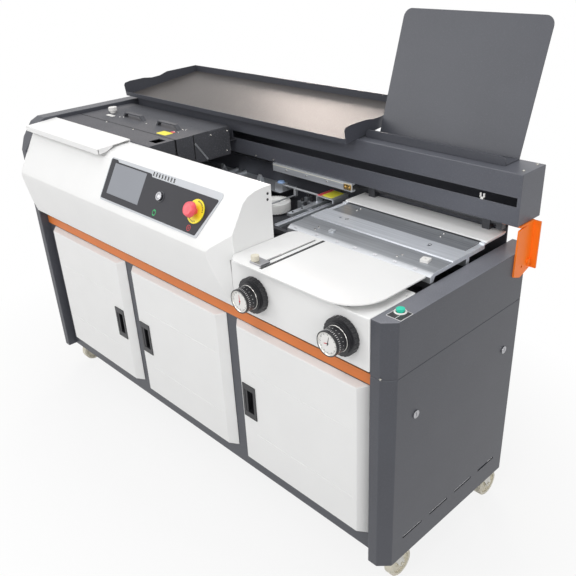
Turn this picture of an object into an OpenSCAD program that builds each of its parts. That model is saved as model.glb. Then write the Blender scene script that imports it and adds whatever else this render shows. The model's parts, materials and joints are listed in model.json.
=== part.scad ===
// Floor-standing perfect binding machine on casters, in millimetres.
// +X is the right-hand end, +Y the back, +Z up.
// The origin is on the floor under the middle of the whole machine.
// Inside in_frame() Y = 0 is the plane of the cabinet front, behind the doors.

/* [Overall] */
// Width over the two side frames
body_w = 1540; // [1290:5:1850]
// Depth of the side frames behind the front plane
side_d = 461; // [430:1:560]
// Height of the working deck above the floor
deck_z = 752.6; // [627:0.1:904]
// Height of the cabinet floor on its casters
base_z = 100; // [84:1:120]
// Thickness of the two side frames
side_t = 51; // [43:1:61]
// Sheet thickness of the frames
sheet = 3; // [2:0.5:4]
// Sheet thickness of the white covers
skin = 2; // [1.5:0.5:3]

/* [Clearances] */
// Radial running clearance of shafts and pins
run = 0.05; // [0.02:0.01:0.1]
// Gap between a piece that moves and its seat
fit = 0.4; // [0.3:0.1:0.8]

/* [Posts] */
// How far the front posts stand in front of the doors
post_out = 28; // [23:1:34]
// Width of the vertical chamfer on the posts
post_ch = 25; // [20:1:30]
// Depth of the back chamfer behind the side faces
back_ch = 25; // [20:1:30]
// Top of the left side frame above the deck
left_rise = 164.4; // [137:0.1:197]

/* [Doors] */
// Width of each door
door_w = 432; // [360:1:436]
// Depth of the door pan and width of its side bevels
door_t = 21; // [17:1:25]
// Gap between the base rail and the doors
door_gap = 2; // [1:0.5:4]
// Offset of the middle door from the centre line
door_off = 10; // [0:1:12]
// Width of the flush handle bezel
handle_w = 48; // [40:1:58]
// Height of the flush handle bezel
handle_h = 102; // [85:1:122]
// Distance of the handle centre from the free edge
handle_in = 50; // [42:1:60]
// Depth of the finger cup of the handles
cup_d = 15; // [12:0.5:17]

/* [Base] */
// Height of the base rail
rail_h = 50; // [42:1:60]
// Height of the orange trim strip
trim_h = 26; // [22:1:31]
// Distance from the strip bottom up to the deck
trim_drop = 175.6; // [150:0.1:190]

/* [Casters] */
// Wheel radius
wheel_r = 37.5; // [31:0.5:42]
// Wheel width
wheel_w = 24; // [20:1:29]
// Trail of the wheel behind its swivel
trail = 28; // [23:1:34]
// Axle radius
axle_r = 4; // [3:0.5:5]
// Swivel pin radius
king_r = 6; // [5:0.5:7]

/* [Hood] */
// Distance from the hood bottom edge up to the deck
hood_drop = 123.6; // [103:0.1:148]
// Right end of the hood from the machine centre
hood_x1 = 313; // [301:1:375]
// Left end of the white knob box
box_x0 = 300; // [250:1:320]
// Distance of the white front behind its nose
front_y0 = 30; // [25:1:36]
// Width of the touch screen
screen_w = 152; // [127:1:182]
// Height of the touch screen
screen_h = 85; // [71:1:96]
// Radius of the emergency stop ring
ring_r = 30; // [25:0.5:36]
// Radius of the emergency stop head
stop_r = 20; // [17:0.5:24]
// Radius of the start button
start_r = 11; // [9:0.5:13]

/* [Table] */
// Thickness of the cover table
table_t = 3; // [2:0.5:4]
// Height of the table top above the deck
table_rise = 17.4; // [14:0.1:20]
// Overhang of the table in front of the knob box
table_over = 22; // [18:1:26]
// Width of the slot that guides the side stop
slot_w = 7; // [6:0.5:8.5]
// Radius of the stem in that slot
stem_r = 3; // [2.5:0.5:3.5]

/* [Dial knobs] */
// Radius of the knob flange
flange_r = 43; // [36:1:51]
// Radius of the knob barrel
barrel_r = 28.5; // [24:0.5:34]
// Reach of the knobs in front of the white box
knob_reach = 50; // [42:1:60]
// Radius of the knob shaft
shaft_r = 6; // [5:0.5:7]
// Distance between the two knobs
knob_pitch = 269; // [224:1:280]

/* [Clamp] */
// Length of the clamp jaws
jaw_l = 431; // [340:1:431]
// Front of the clamp, measured forward from the side frame back
clamp_back = 280; // [240:1:285]
// Thickness of the jaw plates
jaw_t = 10; // [8:0.5:12]
// Radius of the carriage shaft
rail_r = 6; // [5:0.5:7]

/* [Back] */
// Depth of the rear beam
beam_d = 97; // [81:1:110]
// Height of the rear beam
beam_h = 120; // [100:1:144]
// Height of the slot in the rear beam
beam_slot = 21; // [18:1:25]
// Width of the book board
board_w = 403; // [336:1:440]
// Length of the book board along its slope
board_h = 308; // [257:1:370]
// Angle at which the board leans back
board_tilt = 17.4; // [14:0.1:21]
// Depth of the tray along its floor
tray_d = 309; // [258:1:371]
// Angle at which the tray rises to the back
tray_tilt = 6.3; // [5.2:0.1:7.5]
// Right end of the tray from the machine centre
tray_x1 = 300; // [250:1:303]

/* [Head] */
// Right end of the dark head cover from the machine centre
head_x1 = -184; // [-220:1:-154]
// Depth of the lid in the head cover
lid_d = 118; // [98:1:118]
// Radius of the milling disc
disc_r = 44; // [36:0.5:50]
// Radius of the glue roller
roller_r = 26; // [22:0.5:30]

/* [Hidden] */
$fn = 48;
eps = 0.01;
over = 1;

// colours of the preview
dark = [0.34, 0.35, 0.38];
white = [0.93, 0.93, 0.93];
orange = [0.85, 0.45, 0.2];
alu = [0.7, 0.72, 0.75];
black = [0.08, 0.08, 0.09];
cream = [0.9, 0.88, 0.78];
steel = [0.6, 0.6, 0.62];

// side frames and cabinet
half = body_w / 2;
in_x = half - side_t;
face_w = side_t - post_ch;
rail_z = base_z + rail_h;
hood_z = deck_z - hood_drop;
left_top = deck_z + left_rise;
seam_z = hood_z - 7;
seam_w = 2;
frame_t = 6;
frame_lap = 12;
front_y = -side_d / 2 - 67;
beam_y = side_d - 53;
beam_z = deck_z + 64.4;
beam_top = beam_z + beam_h;

// doors
door_z0 = rail_z + door_gap;
door_z1 = deck_z - trim_drop - 3;
door_h = door_z1 - door_z0;
door_pitch = (2 * in_x - 2 * door_off - 2) / 3;
door_in = skin;
handle_z = door_z0 + door_h * 0.48;

// white covers: outline of the hood, as [y, height above the deck]
slope_y = -52;
slope_z = 23.4;
slope_deg = 59.2;
hood_back = 96;
hood_top = 149.4;
hood_pts = [[-30, -hood_drop], [-41, -84.6], [-57, -4.6], [-57, 11.4], [-52, 23.4],
            [10, 127.4], [26, 139.5], [48, 146.4], [72, 149], [hood_back, hood_top]];
facet_dir = [0.396, -0.918, -0.03];
facet_at = [-71, -57, -4.6];
vent_n = 8;
vent_pitch = 12.7;
panel_mid = -18;
rim_pts = [[-223, 127.5], [-221, 7.5], [217, 7.5], [266, 129]];
foil_pts = [[-218, 124], [-216.5, 13], [210, 13], [255, 111], [-20, 111], [-27, 118.5],
            [-184, 118.5], [-190, 124]];
vent_x = panel_mid - 19;
vent_s = 114;
vent_l = 11.5;
bezel_t = 2;
plate_t = 1.2;
screen_x = panel_mid - 119;
screen_s = 72;
stop_x = panel_mid + 190;
stop_s = 68;
start_x = panel_mid + 41;
start_s = 71;

// table, stop and knobs
table_x0 = hood_x1 + 1;
table_x1 = in_x - 10;
clamp_y = side_d - clamp_back;
table_y1 = clamp_y - 18;
table_top = deck_z + table_rise;
table_z = table_top - table_t;
table_y0 = -front_y0 - table_over;
slot_x = box_x0 + 99;
ruler_x = slot_x + 19;
ruler_w = 8.5;
stop_y = -22;
rod_l = 62;
knob_x = in_x - 67;
knob_z = deck_z - 60.6;
knob_gap = 1;
deck_back = 115;

// clamp
jaw_x1 = in_x - 4;
jaw_x0 = jaw_x1 - jaw_l;
jaw_top = deck_z + 20.4;
jaw_y1 = clamp_y + 68;
spine_y = clamp_y + 131;
jaw_low = deck_z - 9.6;
wall_t = 12;
end_t = 14;
strip_z = jaw_top + 3;
strip_y0 = spine_y + 66;
rear_y1 = strip_y0 + 2;
strip_y1 = side_d - 5;
strip_t = 4;
rail_y = side_d - 14;
shaft_z = deck_z + 47.4;
bush_w = 20;
bush_d = 18;
bush_in = 32;
hang_w = 16;
bar_y = clamp_y - 13;
bar_w = 12;
bar_z = deck_z - 1.1;

// bay behind the hood
free_z = deck_z - 12.6;
low_z = deck_z + 7;
floor_z = deck_z - 55;
floor_x0 = head_x1 + 4;
floor_x1 = box_x0 - 10;
deck_y0 = side_d - 73;
disc_x = 40;
disc_y = spine_y + 38;
disc_h = 26;
disc_z = free_z - 12;
flute_n = 36;
motor_r = 44;
tank_x = -445;
tank_w = 230;
tank_d = 116;
tank_t = 4;
roller_l = 60;
roller_z = free_z - roller_r;
spin_r = 5;

// head cover and lid
head_z = deck_z + 152.4;
head_low = deck_z + 67.4;
lid_y0 = clamp_y + 4.5;
lid_y1 = lid_y0 + lid_d;
head_y1 = beam_y - 28;
lid_gap = 3;
skirt_y1 = lid_y0 + 58;
knob_lid_x = -636;
lid_knob_r = 14;
strap_l = 114;
strap_w = 14;
strap_h = 15;
strap_t = 4;

// casters
fork_x = half - 35;
cast_y0 = 37;
cast_y1 = side_d - 40;
pad_t = 3;
plate_z = base_z - pad_t;
leg_t = 3;
leg_gap = 1;

// back
board_x0 = box_x0 + 5;
tray_x0 = -in_x - 3;
tray_y0 = beam_y - 40;
tray_z = beam_top - (beam_y - tray_y0) * tan(tray_tilt);
tray_lip = 13;
tray_back = 22.7;
// outline of the tray's end walls, as [distance up the floor, height]
wall_pts = [[0, 0], [0, 36], [5, 42], [25, 43.5], [82, 38.3], [114, 30.7], [148, 28.9],
            [181, 34.4], [tray_d, tray_back], [tray_d, 0]];

lock_z = deck_z - 250;
lock_y0 = 62.5;
lock_y1 = side_d - 54.5;
lock_r = 9.5;
lock_pin = 6;
green_x = half - 25;
green_y = 31.5;
green_r = 9;

// moves a piece from the front plane of the cabinet to the origin of the machine
module in_frame() {
    translate([0, front_y, 0]) children();
}

// extrudes an outline given as [y, z] along X, from x0 over a length
module along_x(x0, len) {
    translate([x0, 0, 0]) rotate([90, 0, 90]) linear_extrude(len) children();
}

// turns children so that their XY plane lies on the slope of the hood
module on_slope(x, s) {
    translate([0, slope_y, deck_z + slope_z]) rotate([slope_deg, 0, 0])
        translate([x, s, 0]) children();
}

// a box from one corner to the other
module box(a, b) {
    translate(a) cube(b - a);
}

// a rod between two heights
module rod(x, y, z0, z1, r) {
    translate([x, y, z0]) cylinder(r = r, h = z1 - z0);
}

// a rod along X
module rod_x(x0, x1, y, z, r) {
    translate([x0, y, z]) rotate([0, 90, 0]) cylinder(r = r, h = x1 - x0);
}

// a rod along Y
module rod_y(x, y0, y1, z, r) {
    translate([x, y1, z]) rotate([90, 0, 0]) cylinder(r = r, h = y1 - y0);
}

// plan of the right-hand side frame, grown inwards by t
module side_plan(t) {
    offset(delta = -t) polygon([[in_x, -post_out], [in_x + face_w, -post_out],
        [half, -post_out + post_ch], [half, side_d], [half - back_ch, side_d + back_ch],
        [in_x, side_d + back_ch]]);
}

// hollow side frame between two heights, open below
module side_box(z0, z1) {
    difference() {
        translate([0, 0, z0]) linear_extrude(z1 - z0) side_plan(0);
        translate([0, 0, z0 - over]) linear_extrude(z1 - z0 - sheet + over) side_plan(sheet);
    }
}

// side view of the left frame, as [y, z]
module left_profile() {
    polygon([[-post_out - over, base_z - over], [side_d + back_ch + over, base_z - over],
        [side_d + back_ch + over, left_top], [57, left_top], [31, left_top - 12],
        [-post_out, left_top - 88], [-post_out - over, left_top - 88]]);
}

module base_frame() {
    in_frame() color(dark) difference() {
        union() {
            difference() {
                box([-in_x, 0, base_z], [in_x, side_d, rail_z]);
                box([-in_x + sheet, sheet, base_z + sheet], [in_x - sheet, side_d - sheet, rail_z + over]);
            }
            for (sx = [-1, 1], y = [cast_y0, cast_y1])
                translate([sx * fork_x - 33, y - 32, plate_z]) cube([66, 64, pad_t]);
        }
        for (sx = [-1, 1], y = [cast_y0, cast_y1])
            rod(sx * fork_x, y, plate_z - over, base_z + sheet + over, king_r + run);
    }
}

module left_side_frame() {
    in_frame() color(dark) difference() {
        intersection() {
            mirror([1, 0, 0]) translate([0, 0, base_z]) linear_extrude(left_top) side_plan(0);
            along_x(-half - over, side_t + 2 * over) left_profile();
        }
        intersection() {
            mirror([1, 0, 0]) translate([0, 0, base_z - over]) linear_extrude(left_top) side_plan(sheet);
            along_x(-half - over, side_t + 2 * over) translate([0, -sheet * 1.3]) left_profile();
        }
    }
}

module right_lower_panel() {
    vent_l = 72;
    vent_z = base_z + 58;
    in_frame() color(dark) difference() {
        side_box(base_z, seam_z - seam_w / 2);
        for (k = [0:3]) translate([half - sheet - over, 35.5 + k * (side_d - 149.9) / 3, vent_z])
            cube([sheet + 2 * over, vent_l, 6]);
        for (y = [lock_y0, lock_y1]) rod_x(half - sheet - over, half + over, y, lock_z, lock_pin + run);
    }
}

module right_upper_frame() {
    in_frame() color(dark) difference() {
        union() {
            side_box(seam_z - seam_w / 2, deck_z);
        }
        difference() {
            translate([0, 0, seam_z - seam_w / 2 - over]) linear_extrude(seam_w + over)
                side_plan(-over);
            translate([0, 0, seam_z - seam_w]) linear_extrude(3 * seam_w) side_plan(seam_w / 2);
        }
        rod(green_x, green_y, deck_z - sheet - over, deck_z + over, green_r - 2);
    }
}

module front_frame() {
    open_w = door_w - 2 * frame_lap;
    in_frame() color(dark) difference() {
        box([-in_x, 0, rail_z], [in_x, frame_t, hood_z]);
        for (k = [-1:1])
            box([door_off + k * door_pitch - open_w / 2, -over, door_z0 + frame_lap],
                [door_off + k * door_pitch + open_w / 2, frame_t + over, door_z1 - frame_lap]);
    }
}

module trim_strip() {
    in_frame() color(orange)
        box([-in_x, -3, deck_z - trim_drop], [in_x, 0, deck_z - trim_drop + trim_h]);
}

module rear_panel() {
    in_frame() color(dark) box([-in_x, side_d - sheet, rail_z], [in_x, side_d, beam_z]);
}

module inner_deck() {
    in_frame() color(steel) box([-in_x, frame_t, hood_z - sheet], [in_x, side_d - sheet, hood_z]);
}

// hood solid: its outline along X, shrunk by t and cut by the facet at its right end
module hood_solid(t) {
    polar = acos(facet_dir[2]);
    turn = atan2(facet_dir[1], facet_dir[0]);
    difference() {
        along_x(-in_x + (t > 0 ? t : 0), hood_x1 + in_x - 2 * t)
            offset(delta = -t) polygon([for (p = hood_pts) [p[0], p[1] + deck_z],
                [hood_back + t * 4, deck_z + hood_top], [hood_back + t * 4, hood_z - t * 4],
                [hood_pts[0][0], hood_z - t * 4]]);
        translate([hood_x1, 0, deck_z] + facet_at - facet_dir * t)
            rotate([0, polar, turn]) translate([-400, -400, 0]) cube([800, 800, 400]);
    }
}

module hood() {
    in_frame() color(white) difference() {
        union() {
            difference() {
                hood_solid(0);
                hood_solid(skin);
            }
            box([-in_x, -front_y0 + skin / 2, hood_z], [box_x0 - eps, frame_t, hood_z + skin]);
        }
        box([box_x0, -100, hood_z - over], [hood_x1 + over, hood_back + over, deck_z]);
        vents();
    }
}

// the row of vent slots, through the hood and the rim of the panel
module vents() {
    for (k = [0:vent_n - 1]) on_slope(vent_x + k * vent_pitch, vent_s)
        translate([0, 0, -10]) cube([6, vent_l, 20]);
}

module hood_flap() {
    flap_x1 = -279;
    flap_y0 = -9;
    low = deck_z + 151;
    back = deck_z + 158;
    corner = 10;
    in_frame() color(white) intersection() {
        union() {
            along_x(-in_x, flap_x1 + in_x)
                polygon([[hood_back, back], [flap_y0, low], [flap_y0, low - 15],
                    [flap_y0 + skin, low - 15], [flap_y0 + skin, low - skin], [hood_back - skin, back - skin],
                    [hood_back - skin, deck_z + hood_top], [hood_back, deck_z + hood_top]]);
            along_x(flap_x1 - skin, skin)
                polygon([[flap_y0, low - 15], [18, low - 11], [38, low - 1], [38, low + 1.5],
                    [flap_y0, low - skin]]);
        }
        translate([0, 0, low - 40]) linear_extrude(100)
            hull() {
                translate([flap_x1 - corner, flap_y0 + corner]) circle(corner);
                translate([flap_x1 - over, hood_back - over]) square(over);
                translate([-in_x, flap_y0]) square([over, hood_back - flap_y0]);
            }
    }
}

module control_panel() {
    in_frame() color(black) difference() {
        union() {
            on_slope(panel_mid, 0) linear_extrude(bezel_t) offset(r = 9)
                offset(delta = -9) polygon(rim_pts);
            on_slope(panel_mid, 0) linear_extrude(bezel_t + plate_t) offset(r = 4)
                offset(delta = -4) polygon(foil_pts);
        }
        vents();
        on_slope(screen_x, screen_s) translate([-screen_w / 2, -screen_h / 2, bezel_t])
            cube([screen_w, screen_h, 5]);
        on_slope(stop_x, stop_s) translate([0, 0, -over]) cylinder(r = 8 + run, h = 9);
        on_slope(start_x, start_s) translate([0, 0, -over]) cylinder(r = 6 + run, h = 9);
    }
}

module touch_screen() {
    in_frame() color([0.6, 0.62, 0.65]) on_slope(screen_x, screen_s)
        translate([-screen_w / 2 + 0.2, -screen_h / 2 + 0.2, bezel_t])
            cube([screen_w - 0.4, screen_h - 0.4, plate_t + 0.4]);
}

module e_stop_ring() {
    in_frame() color([0.95, 0.85, 0.2]) on_slope(stop_x, stop_s) translate([0, 0, bezel_t + plate_t + eps])
        difference() {
            cylinder(r = ring_r, h = 2.5);
            translate([0, 0, -over]) cylinder(r = 8 + run, h = 9);
        }
}

module knob_box() {
    in_frame() color(white) difference() {
        box([box_x0, -front_y0, hood_z], [in_x, deck_back, deck_z]);
        box([box_x0 + skin, -front_y0 + skin, hood_z + skin], [in_x - skin, deck_back + over, deck_z - skin]);
        for (x = [knob_x, knob_x - knob_pitch])
            rod_y(x, -front_y0 - over, 0, knob_z, shaft_r + run);
        translate([in_x - 81, -19, deck_z - skin - over]) cube([20, 4, skin + 2 * over]);
        rod(in_x - 6.5, 93, deck_z - skin - over, deck_z + over, 2.5);
    }
}

module cover_table() {
    big = 88;
    in_frame() color(white) difference() {
        union() {
            translate([0, 0, table_z]) linear_extrude(table_t) hull() {
                translate([table_x0 + 35, table_y0 + 35]) circle(35);
                translate([table_x1 - big, table_y0 + big]) circle(big, $fn = 96);
                translate([table_x0 + 25, table_y1 - 25]) circle(25);
                translate([table_x1 - 5, table_y1 - 5]) circle(5);
            }
            for (x = [table_x0 + 40, slot_x + 60, table_x1 - 50], y = [10, deck_back - 20])
                rod(x, y, deck_z, table_z + eps, 8);
        }
        translate([slot_x - slot_w / 2, -32, table_z - over]) cube([slot_w, table_y1 - 45 + 65, 10]);
        translate([ruler_x - ruler_w / 2, table_y0 + 11, table_top - 1.2])
            cube([ruler_w, table_y1 - table_y0 - 14, 5]);
    }
}

module rear_beam() {
    slot_x0 = head_x1 - 21;
    in_frame() color(dark) difference() {
        box([-in_x, beam_y, beam_z], [half, beam_y + beam_d, beam_top]);
        box([-in_x + sheet, beam_y + sheet, beam_z + sheet],
            [half - sheet, beam_y + beam_d - sheet, beam_top - sheet]);
        box([slot_x0, beam_y - over, beam_z + 45], [half - 8, beam_y + sheet + over, beam_z + 45 + beam_slot]);
    }
}

module beam_bracket() {
    plate = 4;
    top = beam_z - deck_z;
    in_frame() color(orange) union() {
        difference() {
            along_x(half, plate) polygon([[beam_y + 4, deck_z + top - 9], [beam_y + 71, deck_z + top],
                [beam_y + 71, deck_z - 52], [beam_y + 29, deck_z - 66.6], [beam_y + 1, deck_z - 56.6]]);
            rod_x(half - over, half + 9, beam_y + 32, deck_z - 40, 3);
        }
        box([half - 45, beam_y + 10, beam_z - plate], [half + plate, beam_y + 71, beam_z]);
        box([half, beam_y + 67, deck_z - 52], [half + 20, beam_y + 71, beam_z - 1]);
        rod_x(half + plate - eps, half + plate + 5, beam_y + 56, deck_z - 34, 7);
    }
}

module book_board() {
    t = 3;
    foot_y = beam_y + 87;
    in_frame() color(dark) union() {
        box([board_x0, foot_y - 57, beam_top], [board_x0 + board_w, foot_y + t, beam_top + t]);
        translate([board_x0, foot_y - 57, beam_top]) rotate([90, 0, 0]) mirror([0, 0, 1])
            linear_extrude(t) hull() {
                square([board_w, 8]);
                translate([10, 10]) circle(10);
                translate([board_w - 10, 10]) circle(10);
            }
        translate([board_x0, foot_y, beam_top + t * 0.3]) rotate([90 - board_tilt, 0, 0]) mirror([0, 0, 1])
            linear_extrude(t) hull() {
                square([board_w, 1]);
                translate([22, board_h - 22]) circle(22);
                translate([board_w - 22, board_h - 22]) circle(22);
            }
    }
}

module tray() {
    t = skin;
    in_frame() color(dark) union() {
        translate([0, tray_y0, tray_z]) rotate([tray_tilt, 0, 0]) {
            box([tray_x0, 0, 0], [tray_x1, tray_d, t]);
            box([tray_x0, 0, 0], [tray_x1, t, tray_lip]);
            box([tray_x0, tray_d - t, 0], [tray_x1, tray_d, tray_back]);
            for (x = [tray_x0, tray_x1 - t]) along_x(x, t) polygon(wall_pts);
        }
        for (x = [tray_x0 + 60, (tray_x0 + tray_x1) / 2 - 20, tray_x1 - 100])
            along_x(x, 40) polygon([[beam_y + 4, beam_top], [beam_y + beam_d, beam_top],
                [beam_y + beam_d, tray_z + (beam_y + beam_d - tray_y0) * tan(tray_tilt) + t / 2],
                [beam_y + 4, tray_z + (beam_y + 4 - tray_y0) * tan(tray_tilt) + t / 2]]);
    }
}

module head_cover() {
    t = skin;
    in_frame() color(dark) difference() {
        union() {
            box([-in_x, hood_back, head_z - t], [head_x1, lid_y0 - lid_gap, head_z]);
            box([-in_x, hood_back, head_z - 12], [head_x1, hood_back + t, head_z]);
            box([-in_x, lid_y1 + fit, head_z - t], [head_x1, head_y1, head_z]);
            box([head_x1 - t, hood_back, head_low], [head_x1, head_y1, head_z]);
            box([-in_x, head_y1 - t, head_low + 40], [head_x1, head_y1, head_z]);
            box([-in_x, head_y1 - t, head_low + 38], [head_x1, beam_y, head_low + 40]);
        }
        box([-in_x - over, lid_y0 - lid_gap, head_z - t - fit], [head_x1 + over, lid_y1 + fit, head_z + over]);
        box([head_x1 - t - over, lid_y0 - lid_gap, head_low + 14], [head_x1 + over, skirt_y1 + lid_gap, head_z]);
        translate([head_x1 - 50, lid_y0 - 58, head_z - t - over]) cube([36, 36, t + 2 * over]);
    }
}

module head_lid() {
    in_frame() color(dark) difference() {
        union() {
            box([-in_x + 2, lid_y0, head_z - skin], [head_x1, lid_y1, head_z]);
            box([-in_x + 2, lid_y0, head_z - 14], [head_x1 - 3 * skin, lid_y0 + skin, head_z]);
            box([head_x1 + fit - eps, lid_y0, head_low + 15], [head_x1 + fit + skin, skirt_y1, head_z]);
            box([head_x1 - skin, lid_y0, head_z - skin], [head_x1 + fit + skin, skirt_y1, head_z]);
        }
        rod(knob_lid_x + 770 - half, lid_y0 + 72, head_z - skin - over, head_z + over, spin_r + run);
    }
}

// one strap handle seen from the front, as [x, z]
module strap() {
    difference() {
        polygon([[0, 0], [13, strap_h], [strap_l - 13, strap_h], [strap_l, 0]]);
        polygon([[8, -over], [8, 0], [17, strap_h - strap_t], [strap_l - 17, strap_h - strap_t],
            [strap_l - 8, 0], [strap_l - 8, -over]]);
    }
}

module lid_handles() {
    in_frame() color(dark) for (x = [head_x1 - 380, head_x1 - 194])
        translate([x, lid_y0 + 72 + strap_w / 2, head_z]) rotate([90, 0, 0])
            linear_extrude(strap_w) strap();
}

module lid_knob() {
    x = knob_lid_x + 770 - half;
    in_frame() color(white) union() {
        rod(x, lid_y0 + 72, head_z - skin - 6, head_z + 8, spin_r);
        rod(x, lid_y0 + 72, head_z + fit, head_z + 8, 9);
        difference() {
            rod(x, lid_y0 + 72, head_z + 8 - eps, head_z + 19, lid_knob_r);
            for (k = [0:11]) translate([x, lid_y0 + 72, 0]) rotate([0, 0, k * 30])
                rod(lid_knob_r + 1.5, 0, head_z + 7, head_z + 20, 2.4);
        }
    }
}

module glue_tank() {
    x0 = tank_x + 770 - half - tank_w / 2;
    y0 = spine_y - tank_d / 2;
    in_frame() color(steel) difference() {
        box([x0, y0, hood_z], [x0 + tank_w, y0 + tank_d, free_z - 12]);
        box([x0 + tank_t, y0 + tank_t, hood_z + 30], [x0 + tank_w - tank_t, y0 + tank_d - tank_t, free_z]);
        rod_y(x0 + tank_w / 2, y0 - over, y0 + tank_d + over, roller_z, spin_r + run);
    }
}

module glue_roller() {
    x = tank_x + 770 - half;
    in_frame() color(steel) union() {
        rod_y(x, spine_y - roller_l / 2, spine_y + roller_l / 2, roller_z, roller_r);
        rod_y(x, spine_y - tank_d / 2 - 6, spine_y + tank_d / 2 + 6, roller_z, spin_r);
    }
}

module milling_motor() {
    in_frame() color(black) difference() {
        rod(disc_x, disc_y, hood_z, disc_z - disc_h - 2, motor_r);
        rod(disc_x, disc_y, disc_z - disc_h - 22, disc_z, spin_r + run);
    }
}

module milling_disc() {
    in_frame() color(white) union() {
        difference() {
            rod(disc_x, disc_y, disc_z - disc_h, disc_z, disc_r);
            for (k = [0:flute_n - 1]) translate([disc_x, disc_y, 0]) rotate([0, 0, k * 360 / flute_n])
                translate([disc_r - 2, -1.6, disc_z - disc_h - over]) cube([4, 3.2, disc_h + 2 * over]);
            rod(disc_x, disc_y, disc_z - 6, disc_z + over, disc_r - 12);
        }
        rod(disc_x, disc_y, disc_z - 7, disc_z - 1, 12);
        rod(disc_x, disc_y, disc_z - disc_h - 20, disc_z - disc_h + eps, spin_r);
    }
}

module bay_floor() {
    y0 = clamp_y + 9;
    y1 = side_d - sheet;
    in_frame() color(steel) difference() {
        box([floor_x0, y0, hood_z], [floor_x1, y1, floor_z]);
        box([floor_x0 + skin, y0 - over, hood_z - over], [floor_x1 - skin, y1 + over, floor_z - skin]);
        rod(disc_x, disc_y, floor_z - skin - over, floor_z + over, motor_r + 1);
    }
}

module rear_deck() {
    in_frame() color(dark) union() {
        box([-in_x, deck_y0, free_z - 6], [floor_x0 + 200, side_d - sheet, free_z - 3]);
        for (x = [head_x1 - 109, head_x1 + 71]) along_x(x, 14)
            polygon([[deck_y0 + 24, free_z - 3.5], [deck_y0 + 48, free_z - 3.5], [deck_y0 + 36, free_z + 19]]);
        for (x = [head_x1 - 72, head_x1 - 30])
            box([x, deck_y0 + 24, free_z - 3.5], [x + 8, side_d - sheet - 2, free_z + 4]);
    }
}

module guide_rods() {
    block_y = deck_y0 + 12;
    in_frame() color(steel) union() {
        box([-14, block_y, free_z - 3], [18, block_y + 22, low_z]);
        rod_x(17, 160, block_y + 12, deck_z + 1, 3.5);
        rod_y(62, spine_y - 5, block_y + 12, free_z - 6, 2.5);
        box([58, block_y + 7, free_z - 9], [66, block_y + 17, deck_z]);
    }
}

module cross_bars() {
    in_frame() color(alu) union() {
        box([156, spine_y - 26, free_z - 9], [173, side_d - sheet, free_z - 1]);
        box([190, clamp_y + 28, free_z - 12], [202, side_d - sheet, free_z - 4]);
        box([190, clamp_y + 28, free_z - 12], [193, side_d - sheet, free_z - 1]);
        box([222, spine_y - 30, free_z - 8], [236, spine_y + 60, free_z]);
        box([156, spine_y + 40, free_z - 12], [236, spine_y + 52, free_z - 8]);
        for (x = [158, 190]) box([x, clamp_y + 124, floor_z], [x + 10, clamp_y + 134, free_z - 8.5]);
    }
}

module pleated_guard() {
    pitch = 6;
    x0 = 186;
    n = 11;
    in_frame() color(black)
        translate([x0, clamp_y - 24, floor_z]) linear_extrude(free_z - 6 - floor_z)
            polygon(concat([for (k = [0:2 * n]) [k * pitch / 2, (k % 2) * 5]],
                [[n * pitch, 50], [0, 50]]));
}

module rail_strip() {
    in_frame() color(alu) union() {
        box([-18, beam_y - 8, beam_z - 22], [290, beam_y - 4, beam_z + 1]);
        box([-18, beam_y - 8, beam_z - 22], [290, beam_y + 6, beam_z - 18]);
        box([-18, beam_y - 8, beam_z - 4], [290, beam_y + 6, beam_z]);
    }
}

module sensor_bracket() {
    in_frame() color(steel) union() {
        box([160, deck_y0 + 8, low_z - 3], [226, side_d - sheet, low_z]);
        box([222, deck_y0 + 8, low_z - 12], [226, side_d - sheet, low_z]);
        box([160, deck_y0 + 8, free_z - 1], [164, side_d - sheet, low_z]);
    }
}

module carriage_rails() {
    in_frame() color(steel) union() {
        rod_x(-in_x + hang_w / 2, in_x - hang_w / 2, rail_y, shaft_z, rail_r);
        for (x = [-in_x + 3, in_x - 3 - hang_w])
            box([x, rail_y - bush_d / 2, shaft_z - 12], [x + hang_w, rail_y + bush_d / 2, beam_z]);
        box([-in_x, bar_y, bar_z - 15], [in_x, bar_y + bar_w, bar_z]);
        for (x = [-in_x + 10, 0, in_x - 22])
            box([x, bar_y, hood_z], [x + bar_w, bar_y + bar_w, bar_z - 14]);
    }
}

module front_jaw() {
    in_frame() color(alu) difference() {
        union() {
            along_x(jaw_x0, jaw_l) polygon([[bar_y, deck_z - 0.6], [bar_y + bar_w, deck_z - 0.6],
                [clamp_y + 4, jaw_top - jaw_t], [spine_y - wall_t, jaw_top - jaw_t],
                [spine_y - wall_t, jaw_low], [spine_y, jaw_low], [spine_y, jaw_top + 2],
                [jaw_y1 + 1, jaw_top + 2], [jaw_y1, jaw_top - 2], [jaw_y1 - 2, jaw_top],
                [clamp_y, jaw_top], [bar_y, jaw_top - 7]]);
            for (x = [jaw_x0, jaw_x1 - end_t]) {
                box([x, spine_y - wall_t, jaw_top - jaw_t], [x + end_t, strip_y0 - 6, jaw_top]);
                box([x, strip_y0 - 8, jaw_top - 1], [x + end_t, strip_y1, strip_z]);
            }
            for (x = [jaw_x0 + bush_in, jaw_x1 - bush_in - bush_w]) {
                box([x, rail_y - bush_d / 2, strip_z + strip_t], [x + bush_w, rail_y + bush_d / 2, shaft_z + 10]);
            }
        }
        for (x = [jaw_x0 + bush_in, jaw_x1 - bush_in - bush_w])
            rod_x(x - over, x + bush_w + over, rail_y, shaft_z, rail_r + run);
        for (x = [jaw_x0 + 70, jaw_x1 - 90]) rod(x, jaw_y1 + 36, jaw_top - jaw_t - over, jaw_top + 5, 4);
    }
}

module rear_jaw() {
    x0 = jaw_x0 + end_t + 2;
    in_frame() color(alu) union() {
        box([x0, spine_y + fit, jaw_top - jaw_t], [jaw_x1 - end_t - 2, rear_y1, jaw_top]);
        box([x0, spine_y + fit, jaw_low], [jaw_x1 - end_t - 2, spine_y + wall_t, jaw_top]);
    }
}

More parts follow.
